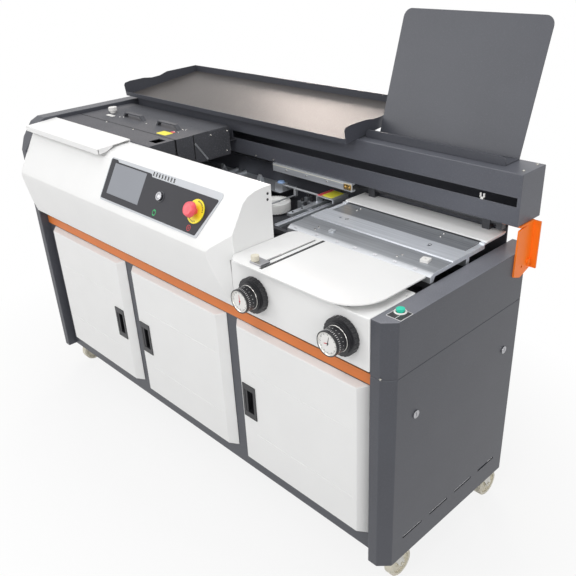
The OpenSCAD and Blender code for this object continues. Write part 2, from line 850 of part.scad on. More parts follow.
module jaw_cover_strip() {
    in_frame() color(white)
        box([jaw_x0 + 4, strip_y0, strip_z], [jaw_x1 + 2, strip_y1, strip_z + strip_t]);
}

module table_stop() {
    in_frame() color(steel) union() {
        box([slot_x - 22, stop_y - 14, table_top + fit], [slot_x + 15, stop_y + 14, table_top + 5]);
        rod(slot_x, stop_y, table_z - 4, table_top + 2, stem_r);
        rod(slot_x, stop_y, table_z - 6, table_z - fit, stem_r + 4);
        rod(slot_x - 14, stop_y - 4, table_top + 3, table_top + 9, 3);
        box([slot_x - 2, stop_y + 10, table_top + fit], [slot_x + 2, stop_y + rod_l, table_top + 2]);
    }
}

module stop_knob() {
    in_frame() color(cream) difference() {
        rod(slot_x - 14, stop_y - 4, table_top + 5 + fit, table_top + 17, 9.5);
        rod(slot_x - 14, stop_y - 4, table_top, table_top + 10, 3 + run);
        for (k = [0:9]) translate([slot_x - 14, stop_y - 4, 0]) rotate([0, 0, k * 36])
            rod(10.4, 0, table_top + 4, table_top + 18, 1.6);
    }
}

// a dial knob on its shaft, with the barrel hollowed for the dial
module dial_knob(x) {
    grip_n = 24;
    y0 = -front_y0 - knob_gap;
    in_frame() color(black) union() {
        difference() {
            union() {
                rod_y(x, y0 - 14, y0, knob_z, flange_r);
                rod_y(x, y0 - 20, y0 - 13, knob_z, flange_r - 8);
                rod_y(x, y0 - knob_reach + 1, y0 - 19, knob_z, barrel_r);
            }
            rod_y(x, y0 - knob_reach, y0 - knob_reach + 4, knob_z, barrel_r - 3);
            for (k = [0:grip_n - 1]) translate([x, 0, knob_z]) rotate([0, k * 360 / grip_n, 0])
                rod_y(flange_r + 1, y0 - 15, y0 + over, 0, 2.4);
        }
        rod_y(x, y0 - 1, -4, knob_z, shaft_r);
    }
}

module left_dial_knob() {
    dial_knob(knob_x - knob_pitch);
}

module right_dial_knob() {
    dial_knob(knob_x);
}

module e_stop_button() {
    in_frame() color([0.85, 0.15, 0.15]) on_slope(stop_x, stop_s) translate([0, 0, bezel_t])
        union() {
            translate([0, 0, 3.5]) cylinder(r = 8, h = 11);
            translate([0, 0, 14]) cylinder(r1 = stop_r - 5, r2 = stop_r, h = 6);
            translate([0, 0, 20 - eps]) cylinder(r1 = stop_r, r2 = stop_r - 4, h = 11);
        }
}

module start_button() {
    in_frame() color(steel) on_slope(start_x, start_s) translate([0, 0, bezel_t + plate_t])
        union() {
            translate([0, 0, -0.5]) cylinder(r = 6, h = 5);
            translate([0, 0, 3.5]) cylinder(r = start_r, h = 4);
        }
}

module green_button() {
    in_frame() color([0.2, 0.75, 0.65]) union() {
        rod(green_x, green_y, deck_z - sheet - 1, deck_z + 4.4, green_r - 2 - run);
        rod(green_x, green_y, deck_z + 4, deck_z + 8, green_r);
    }
}

// outer shape of a door, shrunk by t, with its back plane on Y = 0
module pan(t) {
    w = door_w - 2 * t;
    intersection() {
        translate([-w / 2, 0, door_z0 + t]) linear_extrude(door_h - 2 * t)
            polygon([[0, 0], [door_t, -door_t], [w - door_t, -door_t], [w, 0]]);
        along_x(-w / 2, w) polygon([[0, door_z0 + t], [-door_t, door_z0 + t + 6],
            [-door_t, door_z1 - t - 7], [0, door_z1 - t]]);
    }
}

// a door with its handle cut-out, free edge on side s of its centre
module door(x, s) {
    hx = s * (door_w / 2 - handle_in);
    line_l = door_w - 100;
    in_frame() color(white) translate([x, -fit, 0]) difference() {
        pan(0);
        translate([0, door_in, 0]) pan(door_in);
        box([hx - handle_w / 2 + 4, -door_t - over, handle_z - handle_h / 2 + 4],
            [hx + handle_w / 2 - 4, over, handle_z + handle_h / 2 - 4]);
        for (z = [door_z0 + door_h * 0.25, door_z0 + door_h * 0.705])
            translate([-line_l / 2 - s * 18, -door_t - over, z]) cube([line_l, over + 0.8, 3]);
    }
}

// the flush handle of that door: a bezel with a finger cup and a lever across it
module handle(x, s) {
    hx = s * (door_w / 2 - handle_in);
    in_frame() color(black) translate([x + hx, -fit - door_t, handle_z]) union() {
        difference() {
            union() {
                box([-handle_w / 2, -2.5, -handle_h / 2], [handle_w / 2, 0, handle_h / 2]);
                box([-handle_w / 2 + 4 + run, -1, -handle_h / 2 + 4 + run],
                    [handle_w / 2 - 4 - run, cup_d + 2, handle_h / 2 - 4 - run]);
            }
            box([-handle_w / 2 + 8, -3, -handle_h / 2 + 17], [handle_w / 2 - 8, cup_d, handle_h / 2 - 17]);
        }
        box([-handle_w / 2 + 8 - eps, -1, -handle_h / 2 + 17 - eps],
            [-handle_w / 2 + 16, 3, handle_h / 2 - 17 + eps]);
    }
}

module left_door() {
    door(door_off - door_pitch, 1);
}

module middle_door() {
    door(door_off, -1);
}

module right_door() {
    door(door_off + door_pitch, -1);
}

module left_handle() {
    handle(door_off - door_pitch, 1);
}

module middle_handle() {
    handle(door_off, -1);
}

module right_handle() {
    handle(door_off + door_pitch, -1);
}

// the fork of a caster, its swivel pin in the plate above
module fork(x, y, drop) {
    w = wheel_w / 2 + leg_gap;
    cy = y + trail;
    in_frame() color(steel) difference() {
        union() {
            rod(x, y, plate_z - drop - 8, plate_z - drop, 26);
            rod(x, y, plate_z - drop - eps, base_z - fit, king_r);
            for (s = [-1, 1]) along_x(s > 0 ? x + w : x - w - leg_t, leg_t)
                polygon([[y - 20, plate_z - drop - 4], [y + 20, plate_z - drop - 4],
                    [cy + 9, wheel_r], [cy, wheel_r - 9], [cy - 9, wheel_r]]);
            along_x(x - w - leg_t, 2 * w + 2 * leg_t) polygon([[y + 16, plate_z - drop - 8 + eps],
                [y + 25, plate_z - drop - 8 + eps], [y + 42, plate_z - drop - 3], [y + 40, plate_z - drop]]);
        }
        rod_x(x - 40, x + 40, cy, wheel_r, axle_r + run);
    }
}

module front_left_fork() {
    fork(-fork_x, cast_y0, fit);
}

module front_right_fork() {
    fork(fork_x, cast_y0, fit);
}

module rear_forks() {
    for (s = [-1, 1]) fork(s * fork_x, cast_y1, 0);
}

// a wheel with its axle
module wheel(x, y) {
    rim = 2;
    in_frame() color(cream) translate([x, y + trail, wheel_r]) rotate([0, 90, 0]) union() {
        difference() {
            union() {
                translate([0, 0, -wheel_w / 2 + rim]) cylinder(r = wheel_r, h = wheel_w - 2 * rim, $fn = 64);
                translate([0, 0, -wheel_w / 2]) cylinder(r1 = wheel_r - rim, r2 = wheel_r, h = rim, $fn = 64);
                translate([0, 0, wheel_w / 2 - rim]) cylinder(r1 = wheel_r, r2 = wheel_r - rim, h = rim, $fn = 64);
            }
            for (s = [-1, 1]) translate([0, 0, s > 0 ? wheel_w / 2 - 5 : -wheel_w / 2 - over])
                difference() {
                    cylinder(r = wheel_r - 9, h = 5 + over);
                    translate([0, 0, -over]) cylinder(r = 11, h = 9 + over);
                }
        }
        translate([0, 0, -wheel_w / 2 - leg_gap - leg_t - 2]) cylinder(r = axle_r, h = wheel_w + 2 * leg_gap + 2 * leg_t + 4);
    }
}

module front_left_wheel() {
    wheel(-fork_x, cast_y0);
}

module front_right_wheel() {
    wheel(fork_x, cast_y0);
}

module rear_left_wheel() {
    wheel(-fork_x, cast_y1);
}

module rear_right_wheel() {
    wheel(fork_x, cast_y1);
}

// a quarter-turn lock in the side panel
module side_lock(y) {
    in_frame() color(steel) difference() {
        union() {
            rod_x(half + fit, half + 3, y, lock_z, lock_r);
            rod_x(half - sheet - 4, half + 1, y, lock_z, lock_pin);
        }
        translate([half + 1.5, y - 1, lock_z - 5]) cube([3, 2, 10]);
    }
}

module front_side_lock() {
    side_lock(lock_y0);
}

module rear_side_lock() {
    side_lock(lock_y1);
}

base_frame();
left_side_frame();
right_lower_panel();
right_upper_frame();
front_frame();
trim_strip();
rear_panel();
inner_deck();
hood();
hood_flap();
control_panel();
touch_screen();
e_stop_ring();
knob_box();
cover_table();
rear_beam();
beam_bracket();
book_board();
tray();
head_cover();
glue_tank();
milling_motor();
bay_floor();
rear_deck();
guide_rods();
cross_bars();
pleated_guard();
rail_strip();
sensor_bracket();
carriage_rails();
head_lid();
lid_handles();
lid_knob();
glue_roller();
milling_disc();
front_jaw();
rear_jaw();
jaw_cover_strip();
table_stop();
stop_knob();
left_dial_knob();
right_dial_knob();
e_stop_button();
start_button();
green_button();
left_door();
middle_door();
right_door();
left_handle();
middle_handle();
right_handle();
front_left_fork();
front_right_fork();
rear_forks();
front_left_wheel();
front_right_wheel();
rear_left_wheel();
rear_right_wheel();
front_side_lock();
rear_side_lock();
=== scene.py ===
# %% [markdown]
# # A perfect binding machine, dressed around its CAD frame
# The machine glues a stack of sheets into a cover. The CAD model already fixes every size and
# every place, so this lesson only adds what a camera sees: rounded edges, paint, metal, marks.
# All lengths in the scene are metres, +X is the loading end, +Y the back, +Z up.

# %% Load the frame
import json
import math

import bmesh
import bpy
from mathutils import Matrix, Vector

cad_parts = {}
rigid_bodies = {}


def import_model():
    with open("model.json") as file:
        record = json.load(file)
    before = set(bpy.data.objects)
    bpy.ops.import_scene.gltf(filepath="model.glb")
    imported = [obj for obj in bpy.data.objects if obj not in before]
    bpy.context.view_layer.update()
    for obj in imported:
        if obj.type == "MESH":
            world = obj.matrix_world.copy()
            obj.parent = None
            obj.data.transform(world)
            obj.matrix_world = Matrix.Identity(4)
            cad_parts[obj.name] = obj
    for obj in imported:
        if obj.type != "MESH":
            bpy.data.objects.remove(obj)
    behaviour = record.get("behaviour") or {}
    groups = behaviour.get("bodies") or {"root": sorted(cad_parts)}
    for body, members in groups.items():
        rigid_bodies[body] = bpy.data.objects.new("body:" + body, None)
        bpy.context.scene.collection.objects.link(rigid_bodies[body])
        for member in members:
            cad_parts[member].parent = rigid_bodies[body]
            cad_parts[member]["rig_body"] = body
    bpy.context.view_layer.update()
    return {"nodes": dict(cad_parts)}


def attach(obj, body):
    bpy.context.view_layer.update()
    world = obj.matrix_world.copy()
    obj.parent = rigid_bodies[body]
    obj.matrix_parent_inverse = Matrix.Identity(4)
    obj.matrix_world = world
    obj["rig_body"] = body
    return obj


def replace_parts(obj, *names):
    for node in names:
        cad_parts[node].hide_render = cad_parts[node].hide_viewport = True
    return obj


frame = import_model()

# %% [markdown]
# The maker of this part measured everything in millimetres from the front plane of the cabinet.
# One small function turns such a reading into a point in the frame.

# %% Points in millimetres
FRONT = -297.5
MM = 0.001


def at(x, y, z):
    return Vector((x * MM, (y + FRONT) * MM, z * MM))


print("front plane", at(0, 0, 0))

# %% [markdown]
# ## The camera
# The photograph was taken from the loading end, a little above the machine, with a short lens.
# Its direction was found from the vanishing lines of the cabinet and is written as three axes.
# The picture was cropped off centre, and a small lens shift does the same here. Moving the
# camera by eye would be quicker, but then no edge could be compared with the photograph.

# %% Camera
eye_right = Vector((0.696278, 0.716561, -0.041686))
eye_down = Vector((0.312746, -0.355142, -0.880945))
eye_forward = Vector((-0.646055, 0.600346, -0.471379))
camera_data = bpy.data.cameras.new("photo_camera")
camera = bpy.data.objects.new("photo_camera", camera_data)
bpy.context.scene.collection.objects.link(camera)
turn = Matrix((eye_right, -eye_down, -eye_forward)).transposed()
camera.matrix_world = Matrix.Translation(at(1476.6, -926.6, 1418.4)) @ turn.to_4x4()
camera_data.sensor_width = 36
camera_data.lens = 43.786
camera_data.shift_x = -0.01215
camera_data.shift_y = 0.02604
camera_data.clip_end = 60
bpy.context.scene.camera = camera
print("camera at", [round(v, 3) for v in camera.location])

# %% [markdown]
# ## Materials
# Paint, metal and moulded plastic differ in three things: how even the colour is, how fine the
# surface is, and what happens on edges, where hands and trays wear it. One function makes all of
# them from noise in the object's own coordinates, so a finish stays with its piece when it moves.
# The alternative, image textures, would need pictures and a flat map of every piece.


# %% Nodes that a finish needs
def link(tree, a, b):
    tree.links.new(a, b)


def noise(tree, coords, scale, detail=3.0, stretch=(1, 1, 1)):
    mapping = tree.nodes.new("ShaderNodeMapping")
    mapping.inputs["Scale"].default_value = stretch
    texture = tree.nodes.new("ShaderNodeTexNoise")
    texture.inputs["Scale"].default_value = scale
    texture.inputs["Detail"].default_value = detail
    link(tree, coords, mapping.inputs["Vector"])
    link(tree, mapping.outputs["Vector"], texture.inputs["Vector"])
    return texture.outputs["Fac"]


def spread(tree, value, low, high, to_low, to_high):
    step = tree.nodes.new("ShaderNodeMapRange")
    step.inputs["From Min"].default_value = low
    step.inputs["From Max"].default_value = high
    step.inputs["To Min"].default_value = to_low
    step.inputs["To Max"].default_value = to_high
    link(tree, value, step.inputs["Value"])
    return step.outputs["Result"]


def blend_colour(tree, share, first, second):
    mix = tree.nodes.new("ShaderNodeMix")
    mix.data_type = "RGBA"
    link(tree, share, mix.inputs[0])
    for socket, colour in ((mix.inputs[6], first), (mix.inputs[7], second)):
        if isinstance(colour, tuple):
            socket.default_value = (*colour, 1)
        else:
            link(tree, colour, socket)
    return mix.outputs[2]


# %% A finish made of noise
def finish(name, colour, rough, metal=0.0, tone=0.06, patch=9, grain=900, depth=0.00004,
           strength=0.25, stretch=(1, 1, 1), worn=None, speckle=0.0, coat=0.0, streak=0.0,
           shine=0.5):
    """A painted, ground or moulded surface. Lengths in metres, scales per metre."""
    material = bpy.data.materials.new(name)
    material.use_nodes = True
    tree = material.node_tree
    shader = tree.nodes["Principled BSDF"]
    coords = tree.nodes.new("ShaderNodeTexCoord").outputs["Object"]
    dark = tuple(c * (1 - tone) for c in colour)
    light = tuple(min(1, c * (1 + tone)) for c in colour)
    cloud = spread(tree, noise(tree, coords, patch, 5), 0.3, 0.7, 0, 1)
    base = blend_colour(tree, cloud, dark, light)
    fine = noise(tree, coords, grain, 2, stretch)
    if speckle:
        bright = tuple(min(1, c * (1 + speckle) + 0.02 * speckle) for c in colour)
        dots = spread(tree, noise(tree, coords, grain * 0.45, 1), 0.55, 0.75, 0, 1)
        base = blend_colour(tree, dots, base, bright)
    if streak:
        bands = spread(tree, noise(tree, coords, grain * 0.2, 4, stretch), 0.35, 0.65, 0, 1)
        base = blend_colour(tree, bands, tuple(c * (1 - streak) for c in colour), base)
    if worn:
        edge = tree.nodes.new("ShaderNodeAttribute")
        edge.attribute_name = "edge"
        chips = spread(tree, noise(tree, coords, 140, 4), 0.35, 0.7, 0.15, 1)
        share = tree.nodes.new("ShaderNodeMath")
        share.operation = "MULTIPLY"
        link(tree, edge.outputs["Fac"], share.inputs[0])
        link(tree, chips, share.inputs[1])
        base = blend_colour(tree, share.outputs[0], base, worn)
    link(tree, base, shader.inputs["Base Color"])
    shader.inputs["Metallic"].default_value = metal
    shader.inputs["Specular IOR Level"].default_value = shine
    shader.inputs["Coat Weight"].default_value = coat
    shader.inputs["Coat Roughness"].default_value = 0.12
    link(tree, spread(tree, fine, 0.3, 0.7, rough * 0.85, min(1, rough * 1.15)),
         shader.inputs["Roughness"])
    bump = tree.nodes.new("ShaderNodeBump")
    bump.inputs["Strength"].default_value = strength
    bump.inputs["Distance"].default_value = depth
    link(tree, fine, bump.inputs["Height"])
    link(tree, bump.outputs["Normal"], shader.inputs["Normal"])
    return material


# %% [markdown]
# The frames and the tray carry a dark grey powder coat, the covers a white one, and one strip and
# one bracket are orange. A powder coat is a fine orange peel, so its bump is small but never off.
# The covers of the head are matt, because dust and glue settle there, the beam is a little
# lighter, and the floor of the tray is warm with light specks. The top of the right frame gets a
# lighter copy of the dark coat, which is painted light from the lamps above. One grey for all
# would be simpler, but on a powder-coated machine wear, dust and the angle of the light make
# neighbours differ, and a viewer reads the sheets apart by it.

# %% Paints
dark_paint = finish("dark_powder_coat", (0.06, 0.063, 0.076), 0.42, tone=0.05, grain=1300,
                    depth=0.00008, strength=0.45, worn=(0.14, 0.145, 0.16), speckle=0.25)
beam_paint = finish("beam_powder_coat", (0.088, 0.092, 0.11), 0.4, tone=0.05, grain=1300,
                    depth=0.00008, strength=0.45, worn=(0.17, 0.175, 0.19), speckle=0.25)
# A lighter copy of the dark coat for the top of the right frame: painted light from above.
lit_flange_paint = finish("top_lit_powder_coat", (0.17, 0.175, 0.2), 0.34, tone=0.1, grain=1300,
                      depth=0.00006, strength=0.4, worn=(0.22, 0.225, 0.25), speckle=0.25)
head_paint = finish("matt_powder_coat", (0.08, 0.082, 0.092), 0.62, tone=0.08, grain=700,
                    depth=0.00014, strength=0.6, worn=(0.12, 0.123, 0.135), speckle=0.6,
                    shine=0.25)
# A darker, speckled copy of the frame coat, for the floor of the bay and the lower faces of the
# rear deck.
bay_paint = finish("dark_speckled_coat", (0.034, 0.035, 0.041), 0.6, tone=0.2, patch=30, grain=500,
                   depth=0.00014, strength=0.6, worn=(0.1, 0.1, 0.11), speckle=0.8, shine=0.3)
tray_paint = finish("speckled_coat", (0.05, 0.045, 0.043), 0.46, tone=0.1, patch=5,
                    grain=1100, depth=0.0001, strength=0.6, worn=(0.14, 0.135, 0.135),
                    speckle=0.9, shine=0.4)
white_paint = finish("white_powder_coat", (0.83, 0.83, 0.825), 0.38, tone=0.012, grain=420,
                     depth=0.00008, strength=0.3, worn=(0.88, 0.88, 0.875))
orange_paint = finish("orange_powder_coat", (1.0, 0.21, 0.01), 0.42, tone=0.04, grain=900,
                      depth=0.00008, strength=0.35, worn=(0.96, 0.34, 0.09))
strip_paint = finish("orange_strip", (0.7, 0.19, 0.035), 0.45, tone=0.05, grain=900,
                     depth=0.00008, strength=0.35, worn=(0.82, 0.33, 0.12))
print(len(bpy.data.materials), "paints")

# %% [markdown]
# Metal shows how it was worked. Drawn aluminium and ground steel have fine lines along the
# length, so their noise is stretched along X. Zinc plating is cloudy. The same bar stock comes
# in a dark, a middle and a bright shade, which is how the jaws tell their faces apart. Pure
# metal mirrors the white room unevenly, so large milled faces are only partly metallic.

# %% Metals
dark_aluminium = finish("brushed_dark", (0.30, 0.315, 0.34), 0.42, metal=0.6, tone=0.06,
                        grain=900, stretch=(0.02, 1, 1), depth=0.00005,
                        worn=(0.5, 0.52, 0.55), streak=0.2)
aluminium = finish("brushed_aluminium", (0.74, 0.77, 0.82), 0.4, metal=0.6, tone=0.05, grain=900,
                   stretch=(0.02, 1, 1), depth=0.00005, worn=(0.75, 0.77, 0.8), streak=0.14)
bright_aluminium = finish("bright_aluminium", (0.76, 0.79, 0.83), 0.34, metal=0.7, tone=0.05,
                          grain=900, stretch=(0.02, 1, 1), depth=0.00005,
                          worn=(0.9, 0.9, 0.92), streak=0.08)
lip_aluminium = finish("lip_aluminium", (0.5, 0.515, 0.54), 0.38, metal=0.6, tone=0.05,
                       grain=900, stretch=(0.02, 1, 1), depth=0.00005,
                       worn=(0.8, 0.81, 0.83), streak=0.08)
# Dark steel: painted shade on the bushings and rails under the beam, and the plain colour of the
# start bezel.
shaded_steel = finish("dark_steel_and_shade", (0.07, 0.072, 0.08), 0.4, metal=0.5, tone=0.15, patch=30,
                      grain=900, depth=0.00005, worn=(0.16, 0.165, 0.18))
jaw_steel = finish("jaw_steel", (0.36, 0.375, 0.4), 0.4, metal=0.6, tone=0.06, grain=900,
                   stretch=(0.02, 1, 1), depth=0.00005, worn=(0.56, 0.58, 0.61), streak=0.2)
steel = finish("ground_steel", (0.44, 0.44, 0.46), 0.32, metal=1.0, tone=0.07, grain=1100,
               stretch=(0.08, 1, 1), depth=0.00004, worn=(0.62, 0.62, 0.64), streak=0.12)
polished = finish("polished_steel", (0.7, 0.69, 0.66), 0.16, metal=1.0, tone=0.05, patch=80,
                  grain=900, depth=0.00001, worn=(0.85, 0.85, 0.83))
zinc = finish("zinc_plating", (0.55, 0.54, 0.5), 0.28, metal=1.0, tone=0.12, patch=60,
              grain=300, depth=0.00006, worn=(0.66, 0.66, 0.66))
brass = finish("brass", (0.72, 0.5, 0.2), 0.3, metal=1.0, tone=0.15, patch=90, grain=500,
               depth=0.00005, worn=(0.85, 0.7, 0.4))
print("with metals", len(bpy.data.materials))

# %% [markdown]
# Moulded plastic is even in colour and has the texture of its mould. The screen is a film, so
# it is rougher than glass and shows no lamp. Glass would need something behind it to look at,
# and the photograph shows the screen switched off.

# %% Plastics
# Black plastic, also used as painted shade on the walls of the vent slots.
black_plastic = finish("black_plastic", (0.018, 0.018, 0.021), 0.36, tone=0.12, grain=1400,
                       depth=0.00006, strength=0.3, worn=(0.06, 0.06, 0.065))
panel_foil = finish("panel_foil", (0.03, 0.03, 0.036), 0.5, tone=0.05, grain=1600,
                    depth=0.00003, worn=(0.16, 0.16, 0.17), shine=0.3)
panel_rim = finish("panel_rim", (0.55, 0.57, 0.6), 0.45, tone=0.03, grain=900, depth=0.00003,
                   worn=(0.68, 0.69, 0.72))
screen_film = finish("screen_film", (0.27, 0.282, 0.31), 0.55, tone=0.03, patch=5, grain=2500,
                     depth=0.00001, shine=0.3)
pale_plastic = finish("pale_plastic", (0.80, 0.79, 0.77), 0.4, tone=0.03, grain=900,
                      depth=0.00005, worn=(0.86, 0.85, 0.83))
blue_plastic = finish("blue_plastic", (0.3, 0.45, 0.72), 0.35, tone=0.08, grain=900, patch=60)
cream_nylon = finish("cream_nylon", (0.72, 0.68, 0.56), 0.45, tone=0.08, patch=60, grain=700,
                     depth=0.0001, worn=(0.55, 0.52, 0.44))
drum_plastic = finish("drum_plastic", (0.92, 0.92, 0.91), 0.36, tone=0.02, grain=900,
                      depth=0.00004, worn=(0.95, 0.95, 0.94))
# Only used for the painted highlight along the top edge of the rail strip.
painted_cream_highlight = finish("painted_cream_highlight", (0.93, 0.9, 0.78), 0.4, tone=0.03, patch=60, grain=900)
yellow_plastic = finish("yellow_plastic", (0.90, 0.78, 0.03), 0.42, tone=0.02, grain=900,
                        patch=60)
# A brighter copy of the yellow plastic: painted light for the plate in the shaded bay.
lit_yellow = finish("yellow_painted_light", (1.0, 0.93, 0.08), 0.42, tone=0.02, grain=900, patch=60)
red_plastic = finish("red_plastic", (0.86, 0.09, 0.12), 0.34, tone=0.03, grain=900, patch=60,
                     coat=0.2, worn=(0.9, 0.22, 0.24))
rule_steel = finish("rule_steel", (0.016, 0.0165, 0.018), 0.45, tone=0.15, patch=60, grain=900,
                    stretch=(1, 0.05, 1), depth=0.00002, worn=(0.06, 0.06, 0.065), shine=0.3)
red_ink = finish("red_ink", (0.55, 0.03, 0.04), 0.5, tone=0.08, patch=200, grain=2000)
green_ink = finish("green_ink", (0.02, 0.42, 0.12), 0.5, tone=0.08, patch=200, grain=2000)
# Black print, also used as painted shade: the sheet behind the vents, the sheet under the table
# slot and the strips over the head's gaps.
black_ink_and_shade = finish("black_ink_and_shade", (0.02, 0.02, 0.022), 0.5, tone=0.1, patch=200, grain=2000)
pale_ink = finish("pale_ink", (0.7, 0.7, 0.7), 0.5, tone=0.03, patch=200, grain=2000)
green_lens = finish("green_lens", (0.03, 0.66, 0.46), 0.2, tone=0.06, patch=120, grain=900,
                    coat=0.6)
print("all finishes", len(bpy.data.materials))

# %% [markdown]
# ## Rounded edges
# CAD edges are knife sharp, and no real edge is: bent sheet has a radius of a few millimetres, a
# cut edge a few tenths. Only rounded edges catch the light. The CAD mesh is cleaned of its
# triangles, its long outer creases get a wide bevel and everything else a fine one. New bevel
# faces are marked in an attribute called edge, which the finishes read as wear. Normals are
# then weighted by area, which keeps big faces flat up to their rims.

# %% Cleaning and bevelling
FINE = math.radians(32)
CREASE = math.radians(14)
STAYS_SHARP = math.radians(55)


def slim(face):
    longest = max(e.calc_length() for e in face.edges)
    return face.calc_area() / longest < 0.006


def fold(edge):
    return edge.calc_face_angle() if len(edge.link_faces) == 2 else 0.0


def clean_copy(node):
    bm = bmesh.new()
    bm.from_mesh(frame["nodes"][node].data)
    bmesh.ops.remove_doubles(bm, verts=bm.verts, dist=1e-5)
    bmesh.ops.dissolve_limit(bm, angle_limit=math.radians(0.4), verts=bm.verts, edges=bm.edges)
    bm.normal_update()
    return bm


def bend(bm, radius):
    """Rounds the long outer creases of a sheet piece."""
    bends = [e for e in bm.edges if fold(e) > CREASE and e.is_convex
             and not any(slim(f) for f in e.link_faces)]
    bmesh.ops.bevel(bm, geom=bends, offset=radius, segments=4, profile=0.5, affect="EDGES",
                    clamp_overlap=True, material=-1)


def soften(bm, rim):
    """Breaks every sharp edge by rim and marks the new faces as edge."""
    mark = bm.loops.layers.float.new("edge")
    if rim:
        sharp = [e for e in bm.edges if fold(e) > FINE and e.calc_length() > 2 * rim]
        done = bmesh.ops.bevel(bm, geom=sharp, offset=rim, segments=2, profile=0.5,
                               affect="EDGES", clamp_overlap=True, material=-1)
        for face in done["faces"]:
            for corner in face.loops:
                corner[mark] = 1.0
    for face in bm.faces:
        face.smooth = True
    for edge in bm.edges:
        edge.smooth = fold(edge) < STAYS_SHARP


# %% [markdown]
# Every piece then goes the same way: its mesh becomes an object, gets its finish, and says on
# which body it rides. The normals come from a modifier that is applied at once. A bevel modifier
# could do the rounding too, but it can't keep the edge attribute that the finishes read.


# %% From mesh to piece
def settle(piece):
    weigh = piece.modifiers.new("weighing", "WEIGHTED_NORMAL")
    weigh.keep_sharp = True
    bpy.context.view_layer.update()
    graph = bpy.context.evaluated_depsgraph_get()
    done = bpy.data.meshes.new_from_object(piece.evaluated_get(graph))
    piece.modifiers.clear()
    done.name = piece.name + "_mesh"
    piece.data = done


def new_piece(name, bm, body, finishes):
    mesh = bpy.data.meshes.new(name)
    bm.to_mesh(mesh)
    bm.free()
    piece = bpy.data.objects.new(name, mesh)
    bpy.context.scene.collection.objects.link(piece)
    for material in finishes:
        mesh.materials.append(material)
    settle(piece)
    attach(piece, body)
    print(name, len(piece.data.polygons), "faces, on", body)
    return piece


def body_of(node):
    return frame["nodes"][node]["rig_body"]


def millimetres(point):
    return point.x / MM, point.y / MM - FRONT, point.z / MM


def dress(node, material, rim=0.0005, crease=0.0, regions=()):
    """regions is a list of (finish, test of x, y, z in mm) for faces with another finish."""
    bm = clean_copy(node)
    for index, (_, test) in enumerate(regions):
        for face in bm.faces:
            if test(*millimetres(face.calc_center_median())):
                face.material_index = index + 1
    if crease:
        bend(bm, crease)
    soften(bm, rim)
    finishes = [material] + [m for m, _ in regions]
    piece = new_piece(node + "_look", bm, body_of(node), finishes)
    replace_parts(piece, node)
    return piece


# %% [markdown]
# ## Cabinet
# Side frames are bent sheet with folded posts, so they get the widest bends. The doors are
# folded pans with tight corners. Where a node has one finish, one call is enough. The top flange
# of the right frame, painted lighter as painted light from above, and the floor of the tray have
# a finish of their own, told apart by the place of their faces, so the CAD model does not have to
# be split for a colour.

# %% Frames and panels
# Faces of the right frame above this height get the lighter copy: painted light on its top.
FLANGE_Z = 751.5
TRAY_LEFT, TRAY_RIGHT, TRAY_FRONT, TRAY_BACK = -700, 180, 425, 600
for node, crease in {"left_side_frame": 0.002, "right_lower_panel": 0.002,
                     "right_upper_frame": 0.002, "base_frame": 0.0015, "front_frame": 0.0,
                     "rear_panel": 0.0, "book_board": 0.001}.items():
    dress(node, dark_paint, crease=crease, regions=(
        (lit_flange_paint, lambda x, y, z: node == "right_upper_frame" and z > FLANGE_Z),))
for node, crease in {"head_cover": 0.0006, "head_lid": 0.0006, "lid_handles": 0.0008}.items():
    dress(node, head_paint, crease=crease)
dress("rear_beam", beam_paint, crease=0.002)
dress("tray", dark_paint, regions=(
    (tray_paint, lambda x, y, z: TRAY_LEFT < x < TRAY_RIGHT and TRAY_FRONT < y < TRAY_BACK),))
dress("bay_floor", bay_paint)
dress("trim_strip", strip_paint, crease=0.001)
dress("beam_bracket", orange_paint, crease=0.001)
for node, crease in {"hood": 0.004, "hood_flap": 0.0008, "knob_box": 0.003, "cover_table": 0.0,
                     "jaw_cover_strip": 0.0008, "left_door": 0.002, "middle_door": 0.002,
                     "right_door": 0.002}.items():
    dress(node, white_paint, crease=crease)
print("cabinet dressed")

# %% [markdown]
# Some nodes show several finishes. The jaws are one casting in the CAD model, but on the machine
# the front plate is dark, the raised middle part is lighter and the front lip is bright. A test
# on the middle of each face picks its finish, so no mesh has to be cut. The bushings that hang
# the carriage on its shaft lie in the beam's shade, and their dark steel is painted shade.

# %% Metal pieces
JAW_STEP, RAISED_Z = 248, 764
JAW_LIP, LIP_Z = 181, 750
HANGER_Z = 780
# The bushings above HANGER_Z get the dark steel as painted shade.
dress("front_jaw", jaw_steel, rim=0.0005, regions=(
    (aluminium, lambda x, y, z: JAW_STEP <= y and RAISED_Z < z < HANGER_Z),
    (shaded_steel, lambda x, y, z: z > HANGER_Z),
    (lip_aluminium, lambda x, y, z: y < JAW_LIP and z > LIP_Z)))
dress("rear_jaw", dark_aluminium, rim=0.0005)
# The top faces of the cross bars are painted lighter than their sides, brightest on the first bar:
# painted light where the lamps reach into the bay.
BAR_SPLIT, BAR_END, BAR_Z = 180, 210, 730
dress("cross_bars", dark_aluminium, rim=0.0004, regions=(
    (bright_aluminium, lambda x, y, z: x < BAR_SPLIT and z > BAR_Z),
    (aluminium, lambda x, y, z: BAR_SPLIT < x < BAR_END and z > BAR_Z)))
dress("rail_strip", aluminium, rim=0.0004)
dress("sensor_bracket", bright_aluminium, rim=0.0004)
DECK_TOP = 736.8
dress("rear_deck", bay_paint, rim=0.0004, regions=(
    (bright_aluminium, lambda x, y, z: z > DECK_TOP),))
# The carriage rails under the beam are dark steel as painted shade.
dress("carriage_rails", shaded_steel, rim=0.0003)
dress("guide_rods", lip_aluminium, rim=0.0003)
for node in ("inner_deck", "glue_tank", "glue_roller", "table_stop", "front_side_lock",
             "rear_side_lock"):
    dress(node, steel, rim=0.0003)
for node in ("front_left_fork", "front_right_fork", "rear_forks"):
    dress(node, zinc, rim=0.0004)
print("metal dressed")

